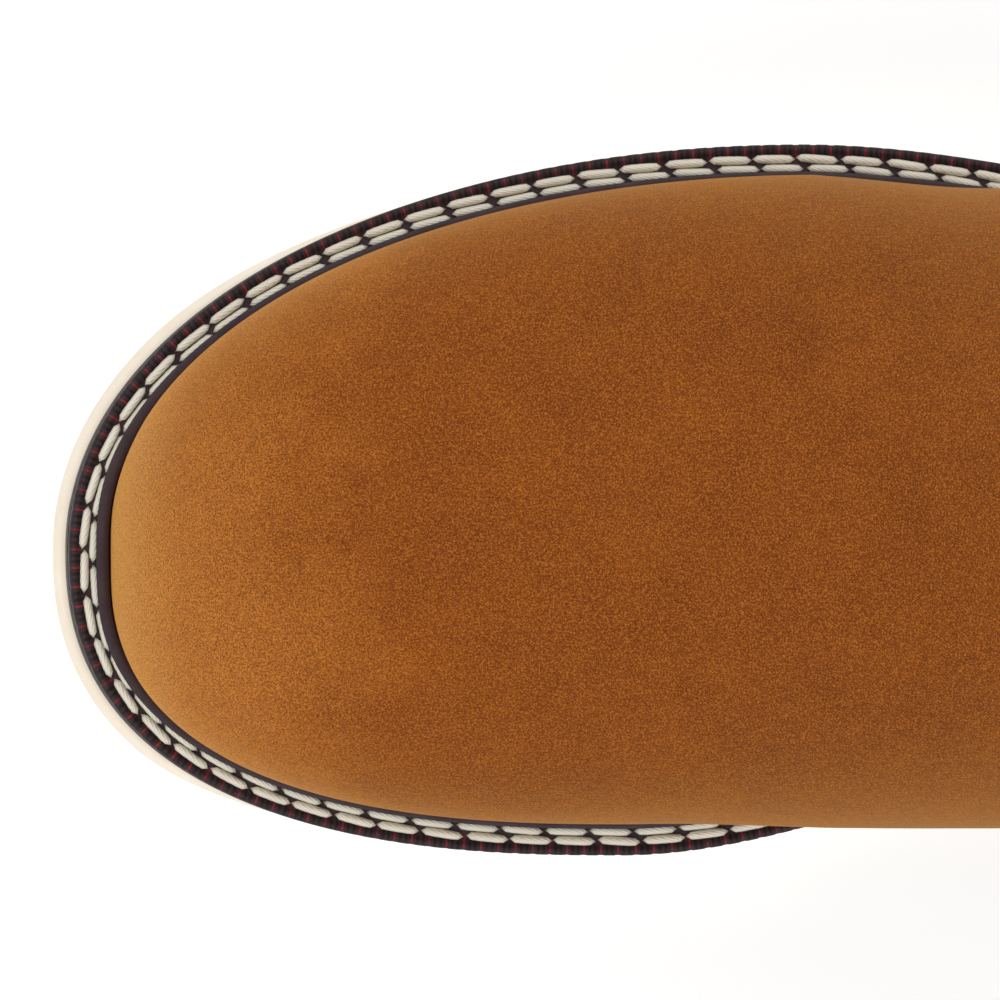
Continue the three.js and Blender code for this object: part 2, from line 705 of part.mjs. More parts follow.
const weltTop = GAP + weltThickness;
function weltRing() {
  const ring = [];
  const last = 2 * sideStations;
  for (let i = 0; i <= last; i++) {
    const [line, side] = i < sideStations ? [lateralLine, -1] : [medialLine, 1];
    const at = i < sideStations ? sideStations - i : i - sideStations;
    const clear = 0.36;
    const inner = (up) => surfaceOut(line, side, at, up) + clear;
    const outer = weltWidth(line[at].x);
    const corners = [
      [inner(GAP), GAP], [inner(weltTop), weltTop], [inner(stormLipHeight), stormLipHeight],
      [inner(stormLipHeight) + 0.7 * stormLipThickness, stormLipHeight],
      [inner(weltTop) + stormLipThickness, weltTop + 0.4], [inner(weltTop) + stormLipThickness, weltTop],
      [outer - 0.3, weltTop], [outer, weltTop - 0.4], [outer, GAP],
    ];
    ring.push(corners.map(([out, up]) => solePoint(line, side, at, out, up)));
  }
  return loft(ring);
}
const welt = weltRing().subtract(form(0.2));

// A row of stitches beside the feather line, as one thread that swells at every stitch
function stitchRow(out, fromStation, toStation) {
  const ring = [];
  const full = fromStation === null;
  const last = 2 * sideStations;
  const begin = full ? 0 : fromStation;
  const end = full ? last : toStation;
  for (let i = begin; i <= end; i++) {
    const lateral = i < sideStations;
    const line = lateral ? lateralLine : medialLine;
    const side = lateral ? -1 : 1;
    const at = lateral ? sideStations - i : i - sideStations;
    const x = line[at].x;
    const centre = solePoint(line, side, at, out, GAP + weltThickness + threadRadius + 0.1);
    const swell = threadRadius * (i % 2 ? 1 : 0.75);
    const [upX, upZ] = soleUp(x);
    const normal = planNormal(line, side, at);
    const row = [];
    for (let k = 0; k < 4; k++) {
      const turn = (Math.PI * k) / 2;
      const across = Math.cos(turn) * swell;
      const rise = Math.sin(turn) * swell;
      row.push(new THREE.Vector3(
        centre.x + normal.x * across * upZ + upX * rise,
        centre.y + normal.y * across,
        centre.z - normal.x * across * upX + upZ * rise,
      ));
    }
    ring.push(row);
  }
  return loft(full ? ring : [pole(ring[0]), ...ring, pole(ring[ring.length - 1])]);
}
const nearest = (line, x) => line.findIndex((p) => p.x <= x);
const outerStitches = stitchRow(outerRow, null);
const innerStitches = stitchRow(
  innerRow,
  sideStations - nearest(lateralLine, innerRowEnds.lateral),
  sideStations + nearest(medialLine, innerRowEnds.medial),
);

// ---------------------------------------------------------------- pull loops
const loopX = seamX(collarSideZ);
const tailOuter = bindingInner + GAP;
const tailInner = tailOuter + webbing;
const sideY = (x, z, depth) => {
  const t = stationOf(x, z);
  return halfWidth(section(t), medialEdge, x, z) - depth;
};
const loopRoot = {
  y: sideY(loopX, collarSideZ, (tailOuter + tailInner) / 2),
  z: collarSideZ + bindingThickness + 1,
};

function tail(side) {
  const outline = [
    [loopX - loopWidth / 2, collarSideZ - bindingHeight - loopTail],
    [loopX + loopWidth / 2, collarSideZ - bindingHeight - loopTail],
    [loopX + loopWidth / 2, loopRoot.z - 1],
    [loopX - loopWidth / 2, loopRoot.z - 1],
  ];
  const band = onSide(side, outline);
  return form(-tailOuter).subtract(form(-tailInner)).intersect(band);
}

// The loop is a strip of webbing, folded into a drop shape whose ends meet at the collar
function loop(side) {
  const drop = (path, wide, low, high) => {
    path.moveTo(0, low);
    path.bezierCurveTo(wide * 0.3, low + (high - low) * 0.25, wide, high * 0.42, wide, high * 0.68);
    path.bezierCurveTo(wide, high * 0.88, wide * 0.6, high, 0, high);
    path.bezierCurveTo(-wide * 0.6, high, -wide, high * 0.88, -wide, high * 0.68);
    path.bezierCurveTo(-wide, high * 0.42, -wide * 0.3, low + (high - low) * 0.25, 0, low);
    return path;
  };
  const shape = drop(new THREE.Shape(), loopInside + webbing, -1.2, loopHeight);
  const hole = drop(new THREE.Path(), loopInside, 0.8 * loopFoot, loopHeight - webbing);
  shape.holes.push(hole);
  const settings = { depth: loopWidth, bevelEnabled: false, curveSegments: 5 };
  const geometry = new THREE.ExtrudeGeometry(shape, settings);
  geometry.rotateX(Math.PI / 2);
  geometry.rotateZ(Math.PI / 2);
  geometry.translate(loopX - loopWidth / 2, side * loopRoot.y, loopRoot.z);
  const floor = new THREE.BoxGeometry(2 * loopWidth, 2 * loopWidth, loopWidth);
  floor.translate(loopX, side * loopRoot.y, loopRoot.z - loopWidth / 2);
  const foot = new THREE.BoxGeometry(loopWidth, webbing, loopFoot);
  foot.translate(loopX, side * loopRoot.y, loopRoot.z + loopFoot / 2);
  return solid(geometry).subtract(solid(floor)).add(solid(foot));
}

// ---------------------------------------------------------------- the boot
const boot = new THREE.Group();
boot.name = "steel_toe_work_boot";
[
  ["vamp", vamp, nubuck],
  ["counter_cover", counterCover, nubuck],
  ["shaft_front", front, nubuck],
  ["shaft_back", rear, nubuck],
  ["piping_medial", piping(1), nubuck],
  ["piping_lateral", piping(-1), nubuck],
  ["collar_binding", binding, nubuck],
  ["steel_toe_cap", toeCap, steel],
  ["toe_cap_guard", guard, foam],
  ["vamp_interlining", doubler, fibreboard],
  ["heel_counter", stiffener, fibreboard],
  ["lining", lining, liningCloth],
  ["storm_welt", welt, darkRubber],
  ["welt_stitching_outer", outerStitches, thread],
  ["welt_stitching_inner", innerStitches, thread],
  ["midsole", midsole, darkRubber],
  ["wedge_outsole", outsole, creamRubber],
  ["insole_rib", rib, fibreboard],
  ["cork_filler", filler, cork],
  ["steel_shank", shank, steel],
  ["insole_board", board, fibreboard],
  ["footbed_foam", bedFoam, foam],
  ["footbed_cover", bedCover, liningCloth],
  ["pull_loop_medial", loop(1), blackWebbing],
  ["pull_loop_lateral", loop(-1), blackWebbing],
  ["loop_tail_medial", tail(1), blackWebbing],
  ["loop_tail_lateral", tail(-1), blackWebbing],
].forEach(([name, manifold, material]) => boot.add(piece(name, manifold, material)));

export default boot;
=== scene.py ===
"""A right steel toe work boot: nubuck upper, stitched storm welt and a wedge outsole."""

import contextlib
import math

import bmesh
import bpy
import numpy as np
from mathutils import Matrix, Vector


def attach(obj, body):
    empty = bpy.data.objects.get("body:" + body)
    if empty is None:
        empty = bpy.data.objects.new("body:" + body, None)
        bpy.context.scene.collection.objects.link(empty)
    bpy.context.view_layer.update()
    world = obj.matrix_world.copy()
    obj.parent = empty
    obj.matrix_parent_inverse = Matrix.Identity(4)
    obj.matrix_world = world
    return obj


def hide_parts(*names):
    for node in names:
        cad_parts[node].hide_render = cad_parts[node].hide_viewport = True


bl_info = {
    "name": "Steel toe work boot",
    "version": (1, 0, 0),
    "blender": (4, 5, 0),
    "location": "View3D > Sidebar > Boot",
    "description": "Makes the upper, welt, stitching, sole and loops of a steel toe work boot",
    "category": "Add Mesh",
}

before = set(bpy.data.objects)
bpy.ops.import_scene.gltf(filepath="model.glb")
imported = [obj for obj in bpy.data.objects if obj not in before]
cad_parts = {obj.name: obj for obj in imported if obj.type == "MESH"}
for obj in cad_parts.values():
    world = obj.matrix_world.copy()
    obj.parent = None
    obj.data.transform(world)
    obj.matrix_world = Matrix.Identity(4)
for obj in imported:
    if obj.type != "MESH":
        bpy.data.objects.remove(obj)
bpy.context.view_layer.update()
MM = 0.001
GAP = 0.3

# ------------------------------------------------------------------ sizes of the last, in mm
TOE_X, TOE_Y, HEEL_X = 143.5, 7.9, -146.8
SEAT_X, HEEL_POWER = -106.0, 2.3
MEDIAL = dict(side=1, ball_x=62, ball=50.1, waist_x=-20, waist=34, seat=34.5, toe_power=2.5, swell=2.6)
LATERAL = dict(side=-1, ball_x=33, ball=50.1, waist_x=-60, waist=38, seat=34.5, toe_power=2.03, swell=0)
SWELLING = [(0.75, 0.0), (1.08, 1.0), (1.6, 0.0)]
SOLE_FOREFOOT, MIDSOLE, WEDGE_RISE = 12.0, 3.0, 21.0
WEDGE_FRONT, WEDGE_REAR = 42.0, -90.0
TOE_SPRING, SPRING_X, SOLE_TIP = 9.0, 57.0, 152.5
WELT_FRONT, WELT_HEEL, WELT_TOP, LIP_TOP = 6.9, 6.0, 3.3, 6.4
OUTER_ROW, INNER_ROW = 4.8, 3.1
CROWN_X, CROWN_Z, TOE_POWER = 100.0, 72.0, 2.3
THROAT = (-24.0, 150.0)
FORM_TOP = 285.0
PIVOT_X, PIVOT_Z = 30.0, 190.0
FRONT_RUN, SHAFT_RUN = TOE_X - PIVOT_X, FORM_TOP - PIVOT_Z
TOE_BULGE = 1.0
GIRTHS = [(1.11, 48.8), (1.4, 42.5), (1.7, 39.0), (2.1, 41.0), (3.0, 46.0)]
ROUNDNESS = [(0.0, 2.4), (1.0, 2.15), (1.33, 2.0), (2.0, 2.2)]
CORE_X = -88.0
SEAM_TOP, SEAM_FOOT = (-84.0, 290.0), (-61.0, 30.0)
COVER, SHAFT_OUT, SHAFT_IN, LINING_OUT, LINING_IN = 2.2, 2.5, 4.3, 4.6, 5.6
TREAD_DEPTH, TREAD_WIDTH, TREAD_PITCH = 1.6, 3.0, 11.0
LOOP_WIDTH, LOOP_HEIGHT, LOOP_INSIDE, WEBBING = 22.0, 24.0, 4.4, 1.3
LOOP_TAIL, LOOP_ROOT_Y, LOOP_ROOT_Z = 16.0, 37.128, 264.0
COLLAR_SIDE, BINDING_HEIGHT = 262.0, 8.0
LINING_FRONT = 0.02  # the station where the lining starts


# ------------------------------------------------------------------ the shape of the last
def ease(t):
    t = np.clip(t, 0, 1)
    return t * t * (3 - 2 * t)


def between(a, b, t):
    return a + (b - a) * ease(t)


def closing(u, power):
    return np.maximum(0, 1 - np.abs(u) ** power) ** (1 / power)


def chain(stops, t):
    t = np.asarray(t, float)
    made = np.full(t.shape, float(stops[0][1]))
    for (a, low), (b, high) in zip(stops, stops[1:]):
        made = np.where(t >= a, between(low, high, (t - a) / (b - a)), made)
    return made


def tread_z(x):
    return TOE_SPRING * (np.maximum(0, x - SPRING_X) / (SOLE_TIP - SPRING_X)) ** 2


def feather_z(x):
    wedge = between(0, WEDGE_RISE, (WEDGE_FRONT - x) / (WEDGE_FRONT - WEDGE_REAR))
    return tread_z(x) + SOLE_FOREFOOT + MIDSOLE + wedge


def sole_up(x):
    slope = feather_z(x + 0.5) - feather_z(x - 0.5)
    size = np.hypot(slope, 1)
    return -slope / size, 1 / size


def feather_y(edge, x):
    side, ball = edge["side"], edge["ball"]
    toe = TOE_Y + (side * ball - TOE_Y) * closing(
        np.maximum(0, x - edge["ball_x"]) / (TOE_X - edge["ball_x"]), edge["toe_power"])
    arch = side * between(ball, edge["waist"], (edge["ball_x"] - x) / (edge["ball_x"] - edge["waist_x"]))
    back = (edge["waist_x"] - x) / (edge["waist_x"] - SEAT_X)
    seat = side * between(edge["waist"], edge["seat"], back)
    heel = side * edge["seat"] * closing(np.clip((SEAT_X - x) / (SEAT_X - HEEL_X), 0, 1), HEEL_POWER)
    made = np.where(x >= edge["waist_x"], arch, seat)
    made = np.where(x >= edge["ball_x"], toe, made)
    return np.where(x < SEAT_X, heel, made)


def welt_width(x):
    return between(WELT_FRONT, WELT_HEEL, (20 - x) / 120)


def bezier(s, a, b, c, d):
    s = np.asarray(s, float)[..., None]
    a, b, c, d = (np.array(p, float) for p in (a, b, c, d))
    return a * (1 - s) ** 3 + 3 * b * s * (1 - s) ** 2 + 3 * c * s * s * (1 - s) + d * s**3


def curve_through(points, steps=160):
    """A smooth line through points, each passed in the direction of its neighbours."""
    points = np.array(points, float)
    padded = np.vstack([points[:1], points, points[-1:]])
    made = []
    for s in np.linspace(0, len(points) - 1, steps):
        i = min(int(s), len(points) - 2)
        w = s - i
        p0, p1, p2, p3 = padded[i:i + 4]
        v0, v1 = 0.5 * (p2 - p0), 0.5 * (p3 - p1)
        cubic, square = 2 * p1 - 2 * p2 + v0 + v1, -3 * p1 + 3 * p2 - 2 * v0 - v1
        made.append(cubic * w**3 + square * w**2 + v0 * w + p1)
    return np.array(made)


HEEL_Z = float(feather_z(HEEL_X))
FOOT_LIFT = 0.35
_s = np.linspace(0, 1, 400)
INSTEP_LINE = bezier(_s, (CROWN_X, CROWN_Z), (55, 72), (5, 102), THROAT)
SHAFT_LINE = bezier(_s, THROAT, (-35.6, 170), (-31, 215), (-20, FORM_TOP))
BACK_LINE = np.vstack([
    bezier(_s, (HEEL_X, HEEL_Z - 4), (-151, 62), (-143, 95), (-141.5, 130)),
    bezier(_s[1:], (-141.5, 130), (-140.5, 165), (-147, 240), (-149, FORM_TOP))])
TOE_LOW = float(feather_z(TOE_X)) - 4


def top_z(x):
    over = np.clip((x - CROWN_X) / (TOE_X - CROWN_X), 0, 1)
    toe = TOE_LOW + (CROWN_Z - TOE_LOW) * closing(over, TOE_POWER)
    rear = np.interp(x, INSTEP_LINE[::-1, 0], INSTEP_LINE[::-1, 1])
    return np.where(x >= CROWN_X, toe, rear)


def back_x(z):
    return np.interp(z, BACK_LINE[:, 1], BACK_LINE[:, 0])


def widest_rise(x):
    at = np.maximum(x, PIVOT_X)
    share = between(0.3, 0.42, (at - PIVOT_X) / FRONT_RUN)
    return np.maximum(1, share * (top_z(at) - feather_z(at)))


CORE_Z = float(feather_z(PIVOT_X) + widest_rise(PIVOT_X))
CORE_LINE = np.vstack([
    bezier(_s, (PIVOT_X, CORE_Z), (-25, CORE_Z + 3), (-92, 70), (CORE_X, PIVOT_Z)),
    [(CORE_X, PIVOT_Z + 200)]])
TOP_LINE = np.vstack([INSTEP_LINE, SHAFT_LINE[1:]])
_foot = np.linspace(PIVOT_X, HEEL_X, 400)
_back = BACK_LINE[BACK_LINE[:, 1] > HEEL_Z + FOOT_LIFT]
END_LINE = np.vstack([np.stack([_foot, feather_z(_foot) + FOOT_LIFT], 1), _back])


def station_of(x, z):
    flat = (TOE_X - x) / FRONT_RUN
    tall = 2 + (z - PIVOT_Z) / SHAFT_RUN
    fan = 2 - np.arctan2(PIVOT_Z - z, PIVOT_X - x) / (math.pi / 2)
    return np.where(x >= PIVOT_X, flat, np.where(z >= PIVOT_Z, tall, fan))


HEEL_STATION = float(station_of(np.float64(HEEL_X), np.float64(HEEL_Z + FOOT_LIFT)))


def on_line(line, t):
    """Where the section planes at stations t cross a side-view line."""
    at = station_of(line[:, 0], line[:, 1])
    at[0] = min(at[0], 1.0)
    return np.stack([np.interp(t, at, line[:, 0]), np.interp(t, at, line[:, 1])], -1)


def foot_half(edge, x, ridge):
    return edge["side"] * (feather_y(edge, np.maximum(x, SEAT_X)) - ridge)


def ridge_at(t):
    return between(between(TOE_Y, 6, t), 0, (t - 1) / 0.5)


def half_at(edge, t, ridge):
    ball_at = (TOE_X - edge["ball_x"]) / FRONT_RUN
    rear = chain([(ball_at, edge["ball"] + TOE_BULGE), *GIRTHS], t)
    rear = rear + edge["swell"] * chain(SWELLING, t) - edge["side"] * ridge
    foot = foot_half(edge, TOE_X - t * FRONT_RUN, ridge)
    return np.where(t >= ball_at, rear, foot + TOE_BULGE * np.clip(foot / 20, 0, 1))


def section(t):
    x = TOE_X - t * FRONT_RUN
    flat = t <= 1
    rear = np.maximum(t, 1.0)

    def pick(front_z, line):
        return np.where(flat[..., None], np.stack([x, front_z], -1), on_line(line, rear))

    top = pick(top_z(x), TOP_LINE)
    middle = pick(feather_z(x) + widest_rise(x), CORE_LINE)
    end = pick(feather_z(x) + FOOT_LIFT, END_LINE)
    return top, middle, end, chain(ROUNDNESS, t), ridge_at(t)


def half_width(t, edge, x, z):
    top, middle, _, roundness, ridge = section(t)
    reach = top - middle
    along = (x - middle[..., 0]) * reach[..., 0] + (z - middle[..., 1]) * reach[..., 1]
    along = along / (reach**2).sum(-1)
    over = np.where(along > 0, closing(np.clip(along, 0, 1), roundness), 1.0)
    foot_t = station_of(x, feather_z(x))
    foot_ridge = ridge_at(foot_t)
    ratio = np.minimum(1, foot_half(edge, x, foot_ridge) / half_at(edge, foot_t, foot_ridge))
    up = np.minimum(1, (z - feather_z(x)) / widest_rise(x))
    flare = np.where(up > 0, 0.7 * ease(up) + 0.3 * up, 0.3 * up)
    centre = between(SEAT_X, CORE_X, (z - HEEL_Z) / 110)
    rearward = np.clip((centre - x) / (centre - back_x(z)), 0, 1)
    back = np.where(x < centre, closing(rearward, HEEL_POWER), 1.0)
    return half_at(edge, t, ridge) * over * back * (ratio + (1 - ratio) * flare)


def both_sides(side, work):
    """Works out a value with the medial edge where side is positive and the lateral edge elsewhere."""
    return np.where(side >= 0, work(MEDIAL), work(LATERAL))


def outward(side, x, z):
    """The outward normal of the last at side-view points, from how fast its width changes."""
    nudge = 0.04

    def at(px, pz):
        t = station_of(px, np.minimum(pz, FORM_TOP))
        half = both_sides(side, lambda e: half_width(np.maximum(t, 1e-5), e, px, pz))
        return np.where(t > 0, half, 0.0), np.where(t > 0, ridge_at(t), TOE_Y)

    half, _ = at(x, z)
    (xa, ra), (xb, rb) = at(x - nudge, z), at(x + nudge, z)
    (za, qa), (zb, qb) = at(x, z - nudge), at(x, z + nudge)
    out = np.sign(side + 1e-9) * half
    normal = np.stack([
        -out * (rb - ra) / (2 * nudge) - (xb**2 - xa**2) / (4 * nudge), out,
        -out * (qb - qa) / (2 * nudge) - (zb**2 - za**2) / (4 * nudge)], -1)
    return normal / np.maximum(np.linalg.norm(normal, axis=-1, keepdims=True), 1e-9)


def on_section(t, v):
    """Side-view place at station t: v 0 is the ridge, 0.5 the widest line and 1 the foot or the back."""
    top, middle, end, roundness, _ = section(t)
    amount = np.abs(v)
    turn = (math.pi / 2) * (1 - np.minimum(amount, 0.5) / 0.5)
    rise = np.sin(turn) ** (2 / roundness)
    closed = t >= HEEL_STATION
    rearward = np.clip((SEAT_X - end[..., 0]) / (SEAT_X - HEEL_X), 0, 1)
    open_end = np.where(closed, 0, closing(rearward, 2))
    full = np.maximum(0.05, (1 - open_end) * math.pi / 2)
    drop = np.sin(full * (np.maximum(amount, 0.5) - 0.5) / 0.5) / np.sin(full)
    upper = middle + (top - middle) * rise[..., None]
    lower = middle + (end - middle) * drop[..., None]
    place = np.where((amount <= 0.5)[..., None], upper, lower)
    return place[..., 0], place[..., 1]


def surface(side, x, z, depth=0.0, t=None, shut=None):
    """A point of the upper at side-view (x, z), depth below the outside of the last."""
    t = station_of(x, z) if t is None else t
    half = both_sides(side, lambda e: half_width(t, e, x, z))
    normal = outward(side, x, z)
    if shut is not None:
        half = np.where(shut, 0, half)
        normal[..., 1] = np.where(shut, 0, normal[..., 1])
        normal = normal / np.linalg.norm(normal, axis=-1, keepdims=True)
    y = ridge_at(t) + np.sign(side + 1e-9) * half
    return np.stack([x, y, z], -1) - normal * np.asarray(depth)[..., None]


def wrap(t, v, depth=0.0):
    x, z = on_section(t, v)
    shut = (np.abs(v) < 1e-6) | ((np.abs(v) > 1 - 1e-6) & (t >= HEEL_STATION))
    return surface(v, x, z, depth, t, shut)


def halve(work, low, high, rounds=30):
    """Finds where work changes sign between low and high, which are arrays."""
    start = np.sign(work(low))
    for _ in range(rounds):
        middle = (low + high) / 2
        same = np.sign(work(middle)) == start
        low, high = np.where(same, middle, low), np.where(same, high, middle)
    return (low + high) / 2


# ------------------------------------------------------------------ pattern lines, in side view
VAMP_EDGE = curve_through([
    (-32, 154), (-16, 142), (-4, 110), (-14, 84), (-34, 63), (-52, 50), (-62, 24)])
COUNTER_TOP = curve_through([(-36, 46), (-60, 74), (-100, 94), (-150, 118)])
COLLAR = curve_through([
    (-160, 249), (-140, 253), (-100, 261), (-82, COLLAR_SIDE), (-60, 259), (-30, 250), (-10, 246)])


def vamp_edge_x(z):
    return np.interp(z, VAMP_EDGE[::-1, 1], VAMP_EDGE[::-1, 0])


def counter_top_z(x):
    return np.interp(x, COUNTER_TOP[::-1, 0], COUNTER_TOP[::-1, 1])


def collar_z(x):
    return np.interp(x, COLLAR[:, 0], COLLAR[:, 1])


def seam_x(z):
    (top_x, high), (foot_x, low) = SEAM_TOP, SEAM_FOOT
    return top_x + (foot_x - top_x) * (high - z) / (high - low)


def seam_v(t):
    """How far round the section at station t the side seam lies."""
    def past(v):
        x, z = on_section(t, v)
        return x - seam_x(z)
    return halve(past, np.zeros_like(t), np.ones_like(t))


def vamp_station(v, inset=0.0):
    """The station where the vamp's back edge, moved forward by the inset, crosses the share v."""
    def past(t):
        x, z = on_section(t, v)
        return x - vamp_edge_x(z) - inset
    return halve(past, np.full_like(v, 0.8), np.full_like(v, 2.3))


def collar_station(v, rise=0.0):
    t = np.full_like(v, 2.7)
    for _ in range(5):
        x, _ = on_section(t, v)
        t = 2 + (collar_z(x) + rise - PIVOT_Z) / SHAFT_RUN
    return t


# ------------------------------------------------------------------ the feather line of the sole
def feather_ring(count):
    """Equal steps round the feather line: from the toe back along the medial side and forward again."""
    bend = 0.5 - 0.5 * np.cos(np.linspace(0, math.pi, 4000))
    x = TOE_X + (HEEL_X - TOE_X) * bend
    medial = np.stack([x, feather_y(MEDIAL, x)], 1)
    lateral = np.stack([x, feather_y(LATERAL, x)], 1)[::-1]
    loop = np.vstack([medial, lateral[1:]])
    run = np.concatenate([[0], np.cumsum(np.linalg.norm(np.diff(loop, axis=0), axis=1))])
    at = np.linspace(0, run[-1], count, endpoint=False)
    px, py = np.interp(at, run, loop[:, 0]), np.interp(at, run, loop[:, 1])
    reach = 0.6
    ahead = np.stack([np.interp((at + reach) % run[-1], run, loop[:, k]) for k in (0, 1)], 1)
    behind = np.stack([np.interp((at - reach) % run[-1], run, loop[:, k]) for k in (0, 1)], 1)
    along = ahead - behind
    along /= np.linalg.norm(along, axis=1, keepdims=True)
    return px, py, along[:, 1], -along[:, 0], at, run[-1]


def beside_sole(x, y, nx, ny, out, up):
    """A point out from the feather line in plan, and up along the sole's own normal."""
    up_x, up_z = sole_up(x)
    high = feather_z(x) - nx * out * up_x + up_z * up
    return np.stack([x + nx * out * up_z + up_x * up, y + ny * out, high], -1)


def upper_reach(x, y, nx, ny, up):
    """How far the upper stands out from the feather line, at a height over the sole."""
    side = np.where(y >= ridge_at(station_of(x, feather_z(x))), 1.0, -1.0)

    def inside(out):
        p = beside_sole(x, y, nx, ny, out, up)
        t = station_of(p[..., 0], p[..., 2])
        half = both_sides(side, lambda e: half_width(np.maximum(t, 1e-5), e, p[..., 0], p[..., 2]))
        gap = side * (p[..., 1] - ridge_at(t)) - half
        return np.where((t > 0) & (gap < 0), -1.0, 1.0)

    return halve(inside, np.full_like(x, -4.0), np.full_like(x, 10.0), 24)


# ------------------------------------------------------------------ mesh helpers
@contextlib.contextmanager
def opened(ob):
    """An object's mesh as a bmesh, which is written back at the end."""
    bm = bmesh.new()
    bm.from_mesh(ob.data)
    yield bm
    bm.to_mesh(ob.data)
    bm.free()


def smooth(mesh):
    for polygon in mesh.polygons:
        polygon.use_smooth = True


def to_object(name, bm):
    mesh = bpy.data.meshes.new(name)
    bm.normal_update()
    bm.to_mesh(mesh)
    bm.free()
    smooth(mesh)
    ob = bpy.data.objects.new(name, mesh)
    bpy.context.scene.collection.objects.link(ob)
    return ob


def blanket(name, columns, rows, place, spread=(1.0, 1.0)):
    """A grid sheet whose points are put in place by (across 0..1, along 0..1).

    Edges that are placed together are merged, so a sheet that meets itself is a closed skin.
    """
    bm = bmesh.new()
    bmesh.ops.create_grid(bm, x_segments=columns, y_segments=rows, size=1.0)
    flat = np.array([v.co[:2] for v in bm.verts]) * 0.5 + 0.5
    spots = place(flat[:, 0], flat[:, 1]) * MM
    layer = bm.loops.layers.uv.new("UVMap")
    for vert, spot in zip(bm.verts, spots):
        vert.co = spot
    for face in bm.faces:
        for loop in face.loops:
            u, v = flat[loop.vert.index]
            loop[layer].uv = (u * spread[0], v * spread[1])
    bmesh.ops.remove_doubles(bm, verts=bm.verts, dist=1e-6)
    bmesh.ops.dissolve_degenerate(bm, edges=bm.edges, dist=1e-7)
    return to_object(name, bm)


def face_out(ob):
    """Recalculates the normals of a closed skin so that they point outwards."""
    with opened(ob) as bm:
        bmesh.ops.recalc_face_normals(bm, faces=bm.faces)
        if bm.calc_volume(signed=True) < 0:
            bmesh.ops.reverse_faces(bm, faces=bm.faces)
    return ob


def fill_ends(ob, merge=0.0):
    """Closes the open ends of a skin."""
    with opened(ob) as bm:
        if merge:
            bmesh.ops.remove_doubles(bm, verts=bm.verts, dist=merge)
        bmesh.ops.holes_fill(bm, edges=[e for e in bm.edges if e.is_boundary])
        bmesh.ops.recalc_face_normals(bm, faces=bm.faces)
    return ob


def soften(ob, width, angle):
    """Rounds the cut edges of a piece, which are those sharper than the angle."""
    limit = math.radians(angle)
    with opened(ob) as bm:
        sharp = [e for e in bm.edges if len(e.link_faces) == 2 and e.calc_face_angle(0) > limit]
        bmesh.ops.bevel(bm, geom=sharp, offset=width * MM, offset_type="OFFSET", affect="EDGES",
                        segments=2, profile=0.5, material=-1, clamp_overlap=True)
    smooth(ob.data)
    return ob


def panel(name, columns, rows, place, wall, edge=0.35):
    """A leather panel: its outside is placed exactly and its thickness goes inwards."""
    ob = blanket(name, columns, rows, place)
    with opened(ob) as bm:
        bm.normal_update()
        lean = 0.0
        for face in bm.faces:
            outwards = face.normal.y * np.sign(face.calc_center_median().y)
            lean += outwards * face.calc_area() + face.normal.z * face.calc_area() * 0.2
        if lean < 0:
            bmesh.ops.reverse_faces(bm, faces=bm.faces)
        bmesh.ops.solidify(bm, geom=bm.faces[:], thickness=wall * MM)
    return soften(face_out(ob), edge, 60)


def finish_piece(ob, slot, material, *nodes, body="boot"):
    ob.data.materials.clear()
    ob.data.materials.append(material)
    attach(ob, body)
    if nodes:
        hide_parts(*nodes)
    return ob


def stitches(name, places, length, radius, dip=0.35, along=8, around=6):
    """Single stitches, each a plump thread whose ends dip into their holes."""
    def shape(u, v):
        turn = 2 * math.pi * u
        run = 2 * v - 1
        plump = radius * np.maximum(0.0, 1 - np.abs(run) ** 5) ** 0.5
        plump = np.where(np.abs(run) > 0.999, 0, plump)
        y, z = plump * np.cos(turn), plump * np.sin(turn) * 0.9
        return np.stack([run * length / 2, y, z - dip * np.abs(run) ** 4], -1)

    template = face_out(blanket(name + "_one", around, along, shape, spread=(1, 1)))
    bm = bmesh.new()
    count = len(template.data.vertices)
    for matrix in places:
        bm.from_mesh(template.data)
        bm.verts.ensure_lookup_table()
        bmesh.ops.transform(bm, matrix=matrix, verts=bm.verts[-count:])
    mesh = template.data
    bpy.data.objects.remove(template)
    ob = to_object(name, bm)
    bpy.data.meshes.remove(mesh)
    return ob


def stitch_matrix(spot, along, up, tilt):
    along, up = Vector(along).normalized(), Vector(up).normalized()
    across = up.cross(along).normalized()
    up = along.cross(across)
    turn = Matrix((along, across, up)).transposed().to_4x4()
    return Matrix.Translation(Vector(spot)) @ turn @ Matrix.Rotation(tilt, 4, "Z")


def run_stitches(points, normals, pitch, jitter, seed, tilt=0.0):
    """Places a stitch at equal steps along a line of points in metres."""
    points = np.asarray(points)
    steps = np.linalg.norm(np.diff(points, axis=0), axis=1)
    run = np.concatenate([[0], np.cumsum(steps)])
    count = max(2, int(round(run[-1] / pitch)))
    at = (np.arange(count) + 0.5) * run[-1] / count
    rng = np.random.default_rng(seed)
    made = []

    def read(values, s):
        return [np.interp(s, run, values[:, k]) for k in range(3)]

    for s in at:
        s = s + rng.uniform(-jitter, jitter) * pitch
        along = np.subtract(read(points, s + pitch * 0.3), read(points, s - pitch * 0.3))
        turned = tilt + rng.uniform(-1, 1) * 0.03
        made.append(stitch_matrix(read(points, s), along, read(normals, s), turned))
    return made


# ------------------------------------------------------------------ finishes
def linear(r, g, b):
    """Display colour, 0 to 255, as the linear colour a shader takes."""
    def one(c):
        c = c / 255
        return c / 12.92 if c <= 0.04045 else ((c + 0.055) / 1.055) ** 2.4
    return (one(r), one(g), one(b), 1.0)


